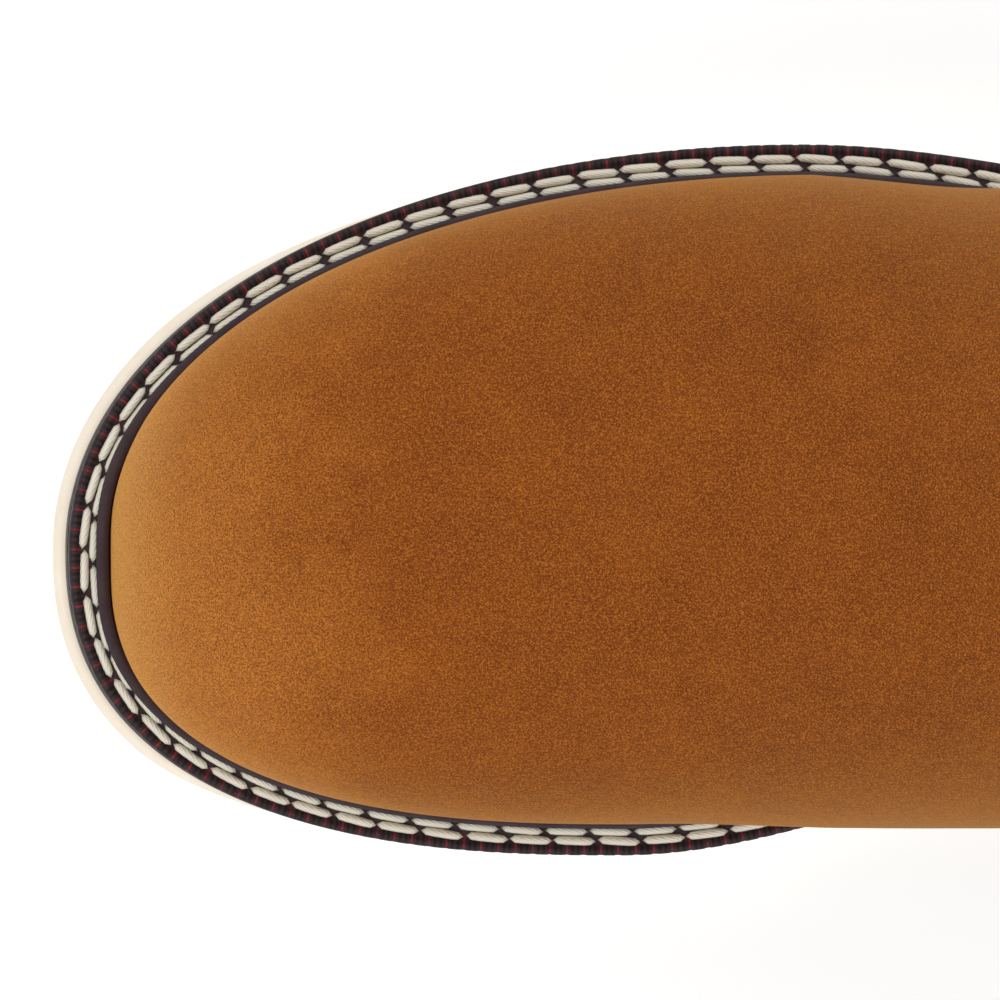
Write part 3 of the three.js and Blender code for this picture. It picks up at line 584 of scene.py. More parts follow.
class Tree:
    """A node tree with short calls to add and link its nodes."""

    def __init__(self, tree):
        self.tree = tree
        tree.nodes.clear()

    def add(self, kind, **values):
        node = self.tree.nodes.new(kind)
        for key, value in values.items():
            if hasattr(node, key):
                setattr(node, key, value)
            else:
                node.inputs[key.replace("_", " ")].default_value = value
        return node

    def link(self, start, end):
        self.tree.links.new(start, end)
        return end

    def noise(self, vector, scale, detail=3.0, roughness=0.55):
        node = self.add("ShaderNodeTexNoise")
        node.inputs["Scale"].default_value = scale
        node.inputs["Detail"].default_value = detail
        node.inputs["Roughness"].default_value = roughness
        self.link(vector, node.inputs["Vector"])
        return node.outputs["Fac"]

    def range(self, value, low, high, to_low=0.0, to_high=1.0):
        node = self.add("ShaderNodeMapRange")
        ends = (("From Min", low), ("From Max", high), ("To Min", to_low), ("To Max", to_high))
        for key, number in ends:
            node.inputs[key].default_value = number
        self.link(value, node.inputs["Value"])
        return node.outputs["Result"]

    def mix(self, amount, a, b):
        node = self.add("ShaderNodeMix", data_type="RGBA")
        for socket, value in ((node.inputs[0], amount), (node.inputs[6], a), (node.inputs[7], b)):
            if isinstance(value, bpy.types.NodeSocket):
                self.link(value, socket)
            else:
                socket.default_value = value
        return node.outputs[2]

    def math(self, operation, a, b=0.0):
        node = self.add("ShaderNodeMath", operation=operation)
        for socket, value in zip(node.inputs, (a, b)):
            if isinstance(value, bpy.types.NodeSocket):
                self.link(value, socket)
            else:
                socket.default_value = value
        return node.outputs[0]

    def bump(self, height, strength, distance, normal=None):
        node = self.add("ShaderNodeBump")
        node.inputs["Strength"].default_value = strength
        node.inputs["Distance"].default_value = distance
        self.link(height, node.inputs["Height"])
        if normal is not None:
            self.link(normal, node.inputs["Normal"])
        return node.outputs["Normal"]


def effect(name, inputs, outputs, build):
    """A shader node group, made once, with named inputs and outputs."""
    if name in bpy.data.node_groups:
        return bpy.data.node_groups[name]
    group = bpy.data.node_groups.new(name, "ShaderNodeTree")
    for label, kind, value in inputs:
        socket = group.interface.new_socket(name=label, in_out="INPUT", socket_type=kind)
        if value is not None:
            socket.default_value = value
    for label, kind in outputs:
        group.interface.new_socket(name=label, in_out="OUTPUT", socket_type=kind)
    tree = Tree(group)
    start, end = tree.add("NodeGroupInput"), tree.add("NodeGroupOutput")
    build(tree, start.outputs, end.inputs)
    return group


def blotches():
    """Soft patches in a dyed or moulded surface."""
    def build(tree, given, out):
        scaled = tree.add("ShaderNodeVectorMath", operation="SCALE")
        tree.link(given["Vector"], scaled.inputs[0])
        tree.link(given["Scale"], scaled.inputs["Scale"])
        wide = tree.noise(scaled.outputs[0], 1.0, 4.0, 0.6)
        fine = tree.noise(scaled.outputs[0], 5.5, 3.0, 0.6)
        both = tree.math("ADD", tree.math("MULTIPLY", wide, 0.72), tree.math("MULTIPLY", fine, 0.28))
        tree.link(tree.range(both, 0.36, 0.64), out["Mask"])

    return effect("Blotches", [("Vector", "NodeSocketVector", None), ("Scale", "NodeSocketFloat", 40.0)],
                  [("Mask", "NodeSocketFloat")], build)


def pores():
    """Fine pores and nap: a height and a mask of the dark pores."""
    def build(tree, given, out):
        scaled = tree.add("ShaderNodeVectorMath", operation="SCALE")
        tree.link(given["Vector"], scaled.inputs[0])
        tree.link(given["Scale"], scaled.inputs["Scale"])
        cells = tree.add("ShaderNodeTexVoronoi", feature="F1")
        cells.inputs["Scale"].default_value = 1.0
        tree.link(scaled.outputs[0], cells.inputs["Vector"])
        nap = tree.noise(scaled.outputs[0], 1.6, 4.0, 0.7)
        pile = tree.noise(scaled.outputs[0], 1.4, 2.0, 0.7)
        rim = tree.range(cells.outputs["Distance"], 0.08, 0.5)
        tree.link(tree.math("ADD", tree.math("MULTIPLY", rim, 0.5), tree.math("MULTIPLY", nap, 0.5)),
                  out["Height"])
        speck = tree.range(pile, 0.5, 0.64)
        dark = tree.math("MULTIPLY", tree.range(cells.outputs["Distance"], 0.4, 0.1), 0.85)
        tree.link(tree.math("MAXIMUM", speck, dark), out["Pores"])
        tree.link(tree.range(pile, 0.5, 0.38), out["Nap"])

    return effect("Pores", [("Vector", "NodeSocketVector", None), ("Scale", "NodeSocketFloat", 1800.0)],
                  [(name, "NodeSocketFloat") for name in ("Height", "Pores", "Nap")], build)


def weave():
    """A plain weave on a piece's own UV map."""
    def build(tree, given, out):
        waves = []
        for direction in ("X", "Y"):
            node = tree.add("ShaderNodeTexWave", wave_type="BANDS", bands_direction=direction)
            node.inputs["Distortion"].default_value = 0.4
            tree.link(given["Vector"], node.inputs["Vector"])
            tree.link(given["Scale"], node.inputs["Scale"])
            waves.append(node.outputs["Fac"])
        tree.link(tree.math("MULTIPLY", waves[0], waves[1]), out["Height"])

    return effect("Weave", [("Vector", "NodeSocketVector", None), ("Scale", "NodeSocketFloat", 60.0)],
                  [("Height", "NodeSocketFloat")], build)


def use(tree, group, vector, scale):
    node = tree.add("ShaderNodeGroup", node_tree=group)
    tree.link(vector, node.inputs["Vector"])
    node.inputs["Scale"].default_value = scale
    return node.outputs


def finish_of(name):
    """A new material with its shader, and the object's own coordinates."""
    material = bpy.data.materials.new(name)
    material.use_nodes = True
    tree = Tree(material.node_tree)
    shader = tree.add("ShaderNodeBsdfPrincipled")
    out = tree.add("ShaderNodeOutputMaterial")
    tree.link(shader.outputs["BSDF"], out.inputs["Surface"])
    coords = tree.add("ShaderNodeTexCoord")
    return material, tree, shader, coords


def nubuck_finish(colours):
    """Caramel nubuck with dark pores: painted light makes it golden at the toe, painted shade makes it
    deeper behind, and random patches make it rustier.
    """
    material, tree, shader, coords = finish_of("caramel_nubuck")
    place = coords.outputs["Object"]
    parts = tree.add("ShaderNodeSeparateXYZ")
    tree.link(place, parts.inputs[0])
    wide = use(tree, blotches(), place, 17.0)["Mask"]
    small = use(tree, blotches(), place, 95.0)["Mask"]
    grain = use(tree, pores(), place, 2700.0)
    sway = tree.math("MULTIPLY", tree.math("SUBTRACT", wide, 0.5), 0.026)
    drift = tree.math("ADD", parts.outputs["X"], sway)
    # Painted light and shade: lighter towards the toe and deeper towards the back, with the wide patches
    # moving where the change happens
    front = tree.range(drift, 0.02, 0.115)
    # Painted light: a golden tone over the front of the toe
    toe = tree.range(drift, 0.096, 0.148)
    painted_light_and_blotches = tree.math("ADD", tree.math("MULTIPLY", front, 0.62), tree.math("MULTIPLY", wide, 0.38))
    base = tree.mix(painted_light_and_blotches, tuple(colours.nubuck_deep_and_painted_shade), tuple(colours.nubuck))
    base = tree.mix(tree.math("MULTIPLY", small, 0.22), base, tuple(colours.nubuck_mid))
    base = tree.mix(tree.math("MULTIPLY", toe, 0.9), base, tuple(colours.nubuck_painted_toe_light))
    # Painted highlight: a pale golden band along the very edge of the toe, where light grazes the
    # leather
    painted_toe_highlight = tree.range(parts.outputs["X"], 0.130, 0.1435)
    base = tree.mix(tree.math("MULTIPLY", painted_toe_highlight, 0.6), base, linear(208, 146, 74))
    raised = tree.math("MULTIPLY", grain["Nap"], tree.range(toe, 0, 1, 0.38, 0.62))
    base = tree.mix(raised, base, tuple(colours.nubuck_nap))
    sunk = tree.math("MULTIPLY", grain["Pores"], tree.range(toe, 0, 1, 0.56, 0.78))
    dark = tree.mix(sunk, base, tuple(colours.nubuck_pore))
    tree.link(dark, shader.inputs["Base Color"])
    tree.link(tree.range(small, 0, 1, 0.72, 0.9), shader.inputs["Roughness"])
    rough = tree.bump(grain["Height"], 0.35, 0.00012)
    tree.link(tree.bump(small, 0.25, 0.0004, rough), shader.inputs["Normal"])
    shader.inputs["Sheen Weight"].default_value = 0.3
    shader.inputs["Sheen Roughness"].default_value = 0.5
    shader.inputs["Sheen Tint"].default_value = (1.0, 0.58, 0.14, 1.0)
    shader.inputs["Specular IOR Level"].default_value = 0.08
    return material


def rubber_finish(name, base, worn, roughness, scale, bump):
    """Moulded rubber with a faint cloud and a fine texture."""
    material, tree, shader, coords = finish_of(name)
    place = coords.outputs["Object"]
    cloud = use(tree, blotches(), place, 60.0)["Mask"]
    grain = use(tree, pores(), place, scale)
    tint = tree.mix(tree.math("MULTIPLY", cloud, 0.6), base, worn)
    tree.link(tint, shader.inputs["Base Color"])
    tree.link(tree.range(cloud, 0, 1, roughness, roughness + 0.15), shader.inputs["Roughness"])
    tree.link(tree.bump(grain["Height"], bump, 0.0001), shader.inputs["Normal"])
    return material


def welt_finish(name, base, red):
    """The storm welt: a smooth lip, and a dark ribbed margin with a red cast in its grooves."""
    material, tree, shader, coords = finish_of(name)
    place = coords.outputs["Object"]
    parts = tree.add("ShaderNodeSeparateXYZ")
    tree.link(coords.outputs["UV"], parts.inputs[0])
    margin = tree.range(parts.outputs["X"], 0.5, 0.56)
    across = tree.math("FRACT", tree.math("ADD", parts.outputs["Y"], 0.5))
    groove = tree.range(tree.math("ABSOLUTE", tree.math("SUBTRACT", across, 0.5)), 0.09, 0.04)
    ribs = tree.math("FRACT", tree.math("MULTIPLY", parts.outputs["Y"], 3.0))
    ribs = tree.range(tree.math("ABSOLUTE", tree.math("SUBTRACT", ribs, 0.5)), 0.16, 0.34)
    cloud = use(tree, blotches(), place, 240.0)["Mask"]
    grain = use(tree, pores(), place, 2600.0)
    dark = tuple(c * 0.34 for c in base[:3]) + (1.0,)
    tint = tree.mix(tree.math("MULTIPLY", tree.math("MULTIPLY", margin, ribs), 0.9), base, dark)
    tint = tree.mix(tree.math("MULTIPLY", tree.math("MULTIPLY", margin, groove),
                              tree.range(cloud, 0.2, 0.8, 0.45, 1.0)), tint, red)
    tint = tree.mix(tree.math("MULTIPLY", cloud, 0.3), tint, dark)
    # Painted shade: darkens the rounded outer edge of the welt, where the lamps light it
    rim = tree.range(parts.outputs["X"], 0.69, 0.75)
    tint = tree.mix(tree.math("MULTIPLY", rim, 0.8), tint, dark)
    tree.link(tint, shader.inputs["Base Color"])
    tree.link(tree.range(cloud, 0, 1, 0.55, 0.75), shader.inputs["Roughness"])
    shader.inputs["Specular IOR Level"].default_value = 0.3
    soft = tree.bump(tree.math("MULTIPLY", margin, ribs), 0.35, -0.0003)
    tree.link(tree.bump(grain["Height"], 0.35, 0.0001, soft), shader.inputs["Normal"])
    return material


def thread_finish(name, light, dark, turns):
    """Waxed thread: strands that twist round each stitch, with painted shade in the grooves between them
    and faint blotches of grime.
    """
    material, tree, shader, coords = finish_of(name)
    twist = tree.add("ShaderNodeMapping")
    twist.inputs["Rotation"].default_value = (0, 0, math.radians(32))
    tree.link(coords.outputs["UV"], twist.inputs["Vector"])
    strands = tree.add("ShaderNodeTexWave", wave_type="BANDS", bands_direction="X")
    strands.inputs["Scale"].default_value = turns
    strands.inputs["Distortion"].default_value = 0.6
    tree.link(twist.outputs[0], strands.inputs["Vector"])
    grime = use(tree, blotches(), coords.outputs["Object"], 420.0)["Mask"]
    # Painted shade in the grooves between the strands
    depth = tree.math("MULTIPLY", tree.range(strands.outputs["Fac"], 0.35, 0.0), 0.14)
    tint = tree.mix(depth, light, dark)
    tint = tree.mix(tree.math("MULTIPLY", grime, 0.1), tint, dark)
    tree.link(tint, shader.inputs["Base Color"])
    shader.inputs["Roughness"].default_value = 0.7
    tree.link(tree.bump(strands.outputs["Fac"], 0.4, 0.0002), shader.inputs["Normal"])
    return material


def cloth_finish(name, light, dark, scale, roughness=0.92):
    """Woven cloth on the piece's own UV map."""
    material, tree, shader, coords = finish_of(name)
    threads = use(tree, weave(), coords.outputs["UV"], scale)["Height"]
    cloud = use(tree, blotches(), coords.outputs["Object"], 50.0)["Mask"]
    tint = tree.mix(threads, dark, light)
    tint = tree.mix(tree.math("MULTIPLY", cloud, 0.25), tint, dark)
    tree.link(tint, shader.inputs["Base Color"])
    tree.link(tree.bump(threads, 0.6, 0.0004), shader.inputs["Normal"])
    shader.inputs["Roughness"].default_value = roughness
    shader.inputs["Sheen Weight"].default_value = 0.2
    return material


def plain_finish(name, light, dark, scale, roughness, metallic=0.0, bump=0.3):
    """Board, cork, foam or pressed steel: two tones of grain with a little relief."""
    material, tree, shader, coords = finish_of(name)
    grain = use(tree, pores(), coords.outputs["Object"], scale)
    cloud = use(tree, blotches(), coords.outputs["Object"], scale / 12)["Mask"]
    tint = tree.mix(tree.math("MULTIPLY", cloud, 0.7), light, dark)
    tint = tree.mix(tree.math("MULTIPLY", grain["Pores"], 0.6), tint, dark)
    tree.link(tint, shader.inputs["Base Color"])
    shader.inputs["Metallic"].default_value = metallic
    tree.link(tree.range(cloud, 0, 1, roughness, min(1.0, roughness + 0.15)), shader.inputs["Roughness"])
    tree.link(tree.bump(grain["Height"], bump, 0.0002), shader.inputs["Normal"])
    return material


def material_for(kind):
    """The finish of each kind of material, made the first time that it is asked for."""
    if kind in bpy.data.materials:
        return bpy.data.materials[kind]
    colours = bpy.context.scene.boot_colours
    makers = {
        "caramel_nubuck": lambda: nubuck_finish(colours),
        "storm_welt_rubber": lambda: welt_finish(kind, tuple(colours.welt), linear(158, 48, 58)),
        "midsole_rubber": lambda: rubber_finish(
            kind, linear(52, 42, 40), linear(84, 74, 70), 0.6, 1500.0, 0.3),
        "cream_wedge_rubber": lambda: rubber_finish(
            kind, tuple(colours.sole), linear(236, 219, 196), 0.62, 900.0, 0.2),
        "welt_thread": lambda: thread_finish(kind, tuple(colours.thread), linear(150, 138, 116), 3.2),
        "upper_thread": lambda: thread_finish(kind, linear(196, 160, 112), linear(120, 84, 48), 2.2),
        "lining_mesh": lambda: cloth_finish(kind, linear(186, 164, 128), linear(120, 100, 72), 90.0),
        "loop_webbing": lambda: cloth_finish(kind, linear(104, 66, 38), linear(48, 28, 16), 26.0, 0.85),
    }
    plain = {
        "pressed_steel": ((176, 180, 182), (120, 124, 128), 700.0, 0.32, 1.0, 0.1),
        "insole_board": ((170, 138, 98), (120, 92, 60), 1200.0, 0.88),
        "ground_cork": ((150, 112, 72), (84, 56, 32), 420.0, 0.95, 0.0, 0.8),
        "footbed_foam": ((66, 66, 70), (34, 34, 38), 900.0, 0.95, 0.0, 0.7),
    }
    if kind in plain:
        light, dark, *numbers = plain[kind]
        made = plain_finish(kind, linear(*light), linear(*dark), *numbers)
    else:
        made = makers[kind]()
    made.name = kind
    return made


# ------------------------------------------------------------------ sizes and colours to change
class BootSizes(bpy.types.PropertyGroup):
    stitch_pitch: bpy.props.FloatProperty(
        name="Welt stitch pitch", description="Step between the stitches of the welt",
        default=0.0071, unit="LENGTH")
    rib_pitch: bpy.props.FloatProperty(
        name="Welt rib pitch", description="Step between the ribs of the welt's margin",
        default=0.0027, unit="LENGTH")
    seam_pitch: bpy.props.FloatProperty(
        name="Upper stitch pitch", description="Step between the stitches of the upper", default=0.0031,
        unit="LENGTH")
    sole_flare: bpy.props.FloatProperty(
        name="Sole flare", description="How far the foot of the sole spreads at the front",
        default=0.002,
        unit="LENGTH")


def colour_property(name, description, r, g, b):
    return bpy.props.FloatVectorProperty(
        name=name, description=description, size=4, subtype="COLOR", min=0, max=1,
        default=linear(r, g, b))


class BootColours(bpy.types.PropertyGroup):
    nubuck: colour_property("Nubuck", "Main colour of the upper", 144, 74, 24)
    # Painted shade towards the back of the upper, mixed with random rusty patches
    nubuck_deep_and_painted_shade: colour_property("Deep nubuck", "Rusty patches", 115, 51, 10)
    nubuck_mid: colour_property("Soft nubuck", "Fine mottling", 156, 87, 32)
    # Painted light round the toe
    nubuck_painted_toe_light: colour_property("Toe nubuck", "Lighter colour round the toe", 184, 114, 50)
    nubuck_pore: colour_property("Pores", "Colour in the pores", 74, 32, 6)
    nubuck_nap: colour_property("Nap", "Pale colour of the raised nap", 222, 140, 54)
    welt: colour_property("Welt", "Colour of the storm welt", 62, 45, 49)
    sole: colour_property("Sole", "Colour of the wedge outsole", 248, 235, 216)
    thread: colour_property("Welt thread", "Colour of the welt stitching", 248, 242, 224)


# ------------------------------------------------------------------ pieces
class BOOT_OT_stage(bpy.types.Operator):
    """Adds the pale floor, the soft lights and the camera"""
    bl_idname = "boot.stage"
    bl_label = "Stage"

    def execute(self, context):
        scene = context.scene
        scene.view_settings.view_transform = "Standard"
        world = bpy.data.worlds.new("studio")
        scene.world = world
        world.use_nodes = True
        back = world.node_tree.nodes["Background"]
        back.inputs["Color"].default_value = (1.0, 1.0, 1.0, 1.0)
        back.inputs["Strength"].default_value = 0.74
        bm = bmesh.new()
        bmesh.ops.create_grid(bm, x_segments=2, y_segments=2, size=3.0)
        floor = to_object("floor", bm)
        material = bpy.data.materials.new("pale_floor")
        material.use_nodes = True
        shader = material.node_tree.nodes["Principled BSDF"]
        shader.inputs["Base Color"].default_value = (1.0, 1.0, 1.0, 1)
        shader.inputs["Roughness"].default_value = 0.9
        shader.inputs["Emission Color"].default_value = (0.8, 0.93, 1.0, 1)
        shader.inputs["Emission Strength"].default_value = 0.2
        floor.data.materials.append(material)
        lights = [("key", (0.45, 0.75, 1.1), 3.2, 0.9), ("fill", (-0.3, -0.9, 1.0), 2.4, 1.0),
                  ("top", (0.5, 0.0, 1.5), 2.4, 0.8)]
        for name, spot, power, size in lights:
            light = bpy.data.lights.new(name, "AREA")
            light.energy, light.size = power, size
            ob = bpy.data.objects.new(name, light)
            ob.location = spot
            aim = Vector((0.05, 0, 0.05)) - Vector(spot)
            ob.rotation_euler = aim.to_track_quat("-Z", "Y").to_euler()
            scene.collection.objects.link(ob)
        lens = bpy.data.cameras.new("camera")
        camera = bpy.data.objects.new("camera", lens)
        distance, framed = 1.12, 0.160
        lens.sensor_width = 36.0
        lens.lens = 36.0 * distance / framed
        camera.location = (0.0813, 0.0, 0.02 + distance)
        camera.rotation_euler = (0, 0, math.pi)
        lens.clip_end = 20
        scene.collection.objects.link(camera)
        scene.camera = camera
        return {"FINISHED"}


class BOOT_OT_upper(bpy.types.Operator):
    """Makes the vamp, the counter cover and the two halves of the shaft"""
    bl_idname = "boot.upper"
    bl_label = "Upper"

    def execute(self, context):
        nubuck = material_for("caramel_nubuck")
        side = np.linspace(-1, 1, 161)
        last = vamp_station(side)
        crown = (TOE_X - CROWN_X) / FRONT_RUN
        share = 0.42  # of the rows lie over the toe

        def vamp(a, r):
            v = 2 * a - 1
            end = np.interp(v, side, last)
            turn = np.clip(r / share, 0, 1) * math.pi / 2
            toe_x = CROWN_X + (TOE_X - CROWN_X) * np.cos(turn) ** (2 / TOE_POWER)
            toe_t = np.maximum(0.0012, (TOE_X - toe_x) / FRONT_RUN)
            t = np.where(r < share, toe_t, crown + (end - crown) * (r - share) / (1 - share))
            return wrap(t, v)

        finish_piece(panel("vamp_leather", 160, 190, vamp, COVER), "nubuck", nubuck, "vamp")

        lap = 9  # how far the shaft reaches under the vamp

        def shaft_front(a, r):
            w = 2 * a - 1
            t_high = np.full_like(w, 2.6)
            for _ in range(4):
                high_v = w * seam_v(t_high)
                x, _z = on_section(t_high, high_v)
                t_high = 2 + (collar_z(x) - GAP - PIVOT_Z) / SHAFT_RUN

            def ahead(t):
                x, z = on_section(t, w * seam_v(t))
                return x - vamp_edge_x(z) - lap
            t_low = halve(ahead, np.full_like(w, 1.02), np.full_like(w, 2.2), 20)
            t = t_low + (t_high - t_low) * r
            return wrap(t, w * seam_v(t) * 0.9985, SHAFT_OUT)

        finish_piece(panel("shaft_front_leather", 110, 110, shaft_front, SHAFT_IN - SHAFT_OUT),
                     "nubuck", nubuck, "shaft_front")

        def behind(front, low, high, depth):
            """A patch round the heel, between a front edge, a lower line and an upper line."""
            def corner(edge, line):
                return float(halve(lambda z: z - line(edge(z)), np.array(20.0), np.array(284.0), 50))

            corners = [(edge, corner(edge, low), corner(edge, high)) for edge in (back_x, front)]

            def place(a, r):
                w = 2 * a - 1
                s = 1 - np.cos(np.abs(w) * math.pi / 2)
                ends = []
                for edge, z0, z1 in corners:
                    z = z0 + (z1 - z0) * r
                    x0, x1 = float(edge(z0)), float(edge(z1))
                    ends.append((x0, x1, edge(z) - (x0 + (x1 - x0) * r)))
                (b0, b1, back_bow), (f0, f1, front_bow) = ends
                x_low, x_high = b0 + (f0 - b0) * s, b1 + (f1 - b1) * s
                x = x_low + (x_high - x_low) * r + (1 - s) * back_bow + s * front_bow
                z = low(x_low) + (high(x_high) - low(x_low)) * r
                x = np.maximum(x, back_x(z) + 1e-4)
                return surface(w, x, z, depth, None, np.abs(w) < 1e-6)
            return place

        counter = behind(lambda z: vamp_edge_x(z) - 0.5, lambda x: feather_z(x) + FOOT_LIFT,
                         counter_top_z, 0.0)
        finish_piece(panel("counter_leather", 150, 60, counter, COVER),
                     "nubuck", nubuck, "counter_cover")
        rear = behind(lambda z: seam_x(z) - 0.15, lambda x: counter_top_z(x) - 11,
                      lambda x: collar_z(x) - GAP, SHAFT_OUT)
        finish_piece(panel("shaft_back_leather", 110, 100, rear, SHAFT_IN - SHAFT_OUT),
                     "nubuck", nubuck, "shaft_back")
        return {"FINISHED"}


class BOOT_OT_lining(bpy.types.Operator):
    """Makes the cloth lining inside the boot"""
    bl_idname = "boot.lining"
    bl_label = "Lining"

    def execute(self, context):
        def skin(depth):
            def place(a, r):
                v = 2 * a - 1
                top = collar_station(v, -GAP)
                return wrap(LINING_FRONT + (top - LINING_FRONT) * r, v, depth)

            return blanket("lining_cloth", 96, 150, place, spread=(3.0, 4.0))

        ob, inner = skin(LINING_OUT), skin(LINING_IN)
        with opened(ob) as bm:
            bm.from_mesh(inner.data)
            bmesh.ops.remove_doubles(bm, verts=bm.verts, dist=2e-5)
            rims = [e for e in bm.edges if e.is_boundary]
            for at_top in (True, False):
                rim = [e for e in rims if (e.verts[0].co.z > 200 * MM) == at_top]
                bmesh.ops.bridge_loops(bm, edges=rim)
        bpy.data.objects.remove(inner)
        face_out(ob)
        finish_piece(ob, "lining", material_for("lining_mesh"), "lining")
        return {"FINISHED"}


class BOOT_OT_trim(bpy.types.Operator):
    """Makes the collar binding and the piping over the side seams"""
    bl_idname = "boot.trim"
    bl_label = "Binding and piping"

    def execute(self, context):
        nubuck = material_for("caramel_nubuck")
        outer, inner, band, drop = 1.2, 6.9, 1.0, BINDING_HEIGHT
        middle, reach = (outer + inner) / 2, (inner - outer) / 2
        top = 1.0 - reach * 0.45
        path = [(outer, -drop), (outer, -drop * 0.5), (outer, top - 1.4)]
        for k in range(9):
            turn = math.pi * k / 8
            high = top + (1.0 - top) * math.sin(turn) - 0.4 * (1 - math.sin(turn))
            path.append((middle - reach * math.cos(turn), high))
        path += [(inner, top - 1.4), (inner, -drop * 0.5), (inner, -drop)]
        back = []
        for depth, rise in reversed(path):
            shift = (depth - middle) / reach
            back.append((depth - band * shift, rise if rise <= top - 1.4 else rise - band * 0.9))
        loop = np.array(path + back + path[:1])

        def binding(a, r):
            v = 2 * a - 1
            depth = np.interp(r, np.linspace(0, 1, len(loop)), loop[:, 0])
            rise = np.interp(r, np.linspace(0, 1, len(loop)), loop[:, 1])
            return wrap(collar_station(v, rise), v, depth)

        ob = face_out(blanket("collar_binding_leather", 180, len(loop) - 1, binding))
        finish_piece(soften(ob, 0.25, 55), "nubuck", nubuck, "collar_binding")
        for name, side in (("piping_medial", 1.0), ("piping_lateral", -1.0)):
            def piping(a, r, side=side):
                low = counter_top_z(seam_x(90.0)) + 0.6
                high = collar_z(seam_x(COLLAR_SIDE)) - BINDING_HEIGHT - GAP
                z = low + (high - low) * r
                turn = 2 * math.pi * a
                rise = np.where(np.sin(turn) > 0, 1.4 * np.abs(np.sin(turn)) ** 0.8, 0.0)
                x = seam_x(z) + 1.5 * np.cos(turn)
                return surface(np.full_like(a, side), x, z, COVER - rise)

            ob = fill_ends(face_out(blanket(name + "_leather", 14, 120, piping)))
            finish_piece(ob, "nubuck", nubuck, name)
        return {"FINISHED"}


def calmed(values, span):
    """Evens out a closed run of values over a few neighbours."""
    rolled = [np.roll(values, k) for k in range(-(span // 2), span // 2 + 1)]
    return np.mean(rolled, axis=0)


class BOOT_OT_welt(bpy.types.Operator):
    """Makes the ribbed storm welt with its raised lip"""
    bl_idname = "boot.welt"
    bl_label = "Storm welt"

    def execute(self, context):
        stations = 1700
        x, y, nx, ny, run, whole = feather_ring(stations)
        ribs = round(whole * MM / context.scene.boot_sizes.rib_pitch)
        clearance = 0.14
        low, mid, high = (
            calmed(upper_reach(x, y, nx, ny, up), 21) + clearance for up in (GAP, WELT_TOP, LIP_TOP))
        edge = welt_width(x)
        phase = 2 * math.pi * ribs * run / whole
        rib = -ease((np.cos(phase) - 0.55) / 0.35)
        wave = 0.45 * rib + 0.08 * np.cos(3 * phase + 0.6)
        lip = 2.08  # its thickness over the margin
        groove = WELT_TOP - 0.65  # the floor of the channel under the stitches
        profile = [
            (low, GAP),
            (mid, WELT_TOP),
            (high, LIP_TOP - 0.5),
            (high + 0.25, LIP_TOP),
            (high + 0.75 * lip, LIP_TOP - 0.1),
            (high + lip, LIP_TOP - 0.7),
            (mid + lip - 0.5, WELT_TOP + 1.5),
            (mid + lip - 0.8, WELT_TOP + 0.4),
            (mid + lip - 0.7, groove - 0.1),
            (0.5 * (INNER_ROW + OUTER_ROW), groove),
            (OUTER_ROW + 0.7, groove),
            (OUTER_ROW + 0.95, WELT_TOP - 0.1 + 0.3 * wave),
            (edge - 0.75, WELT_TOP + 0.1 + 0.7 * wave),
            (edge - 0.3, WELT_TOP + wave),
            (edge + 0.1 * rib, WELT_TOP - 0.5 + 0.4 * wave),
            (edge + 0.1 * rib, WELT_TOP - 1.4),
            (edge + 0.08 * rib, GAP + 0.25),
            (edge - 0.3, GAP),
            (low, GAP),
        ]
        rings = np.stack([beside_sole(x, y, nx, ny, out + 0 * x, up + 0 * x) for out, up in profile])
        rings = np.concatenate([rings, rings[:, :1]], axis=1)
        columns = len(profile) - 1

        def place(a, r):
            return rings[np.rint(a * columns).astype(int), np.rint(r * stations).astype(int)]

        ob = face_out(blanket("storm_welt_rubber", columns, stations, place, spread=(1.0, ribs)))
        finish_piece(ob, "dark_rubber", material_for("storm_welt_rubber"), "storm_welt")
        return {"FINISHED"}


class BOOT_OT_welt_stitching(bpy.types.Operator):
    """Sews the two rows of heavy stitches into the welt"""
    bl_idname = "boot.welt_stitching"
    bl_label = "Welt stitching"

    def execute(self, context):
        pitch = context.scene.boot_sizes.stitch_pitch
        x, y, nx, ny, _run, _whole = feather_ring(2400)
        up_x, up_z = sole_up(x)
        normals = np.stack([up_x, 0 * x, up_z], -1)
        thread = material_for("welt_thread")

        def row(out):
            return beside_sole(x, y, nx, ny, out + 0 * x, WELT_TOP - 0.15 + 0 * x) * MM

        def sew(name, points, up, length, seed):
            places = run_stitches(points, up, pitch, jitter=0.02, seed=seed, tilt=-0.04)
            ob = stitches("welt_stitches_" + name, places, pitch / MM * length, 0.7)
            finish_piece(ob, "thread", thread, "welt_stitching_" + name)
            return len(places)

        outer = row(OUTER_ROW - 0.25)
        closed = np.vstack([outer, outer[:1]])
        count = sew("outer", closed, np.vstack([normals, normals[:1]]), 0.985, 3)
        # The inner row stops at the waist on both sides, and starts half a stitch on
        heel = int(np.argmin(x))
        steps = np.arange(len(x))
        medial = np.flatnonzero((steps < heel) & (x > 46))
        lateral = np.flatnonzero((steps > heel) & (x > -20))
        half_stitch = int(round(0.5 * len(x) / count))
        order = np.concatenate([lateral, medial])[half_stitch % 20:]
        sew("inner", row(INNER_ROW - 0.1)[order], normals[order], 0.98, 5)
        return {"FINISHED"}


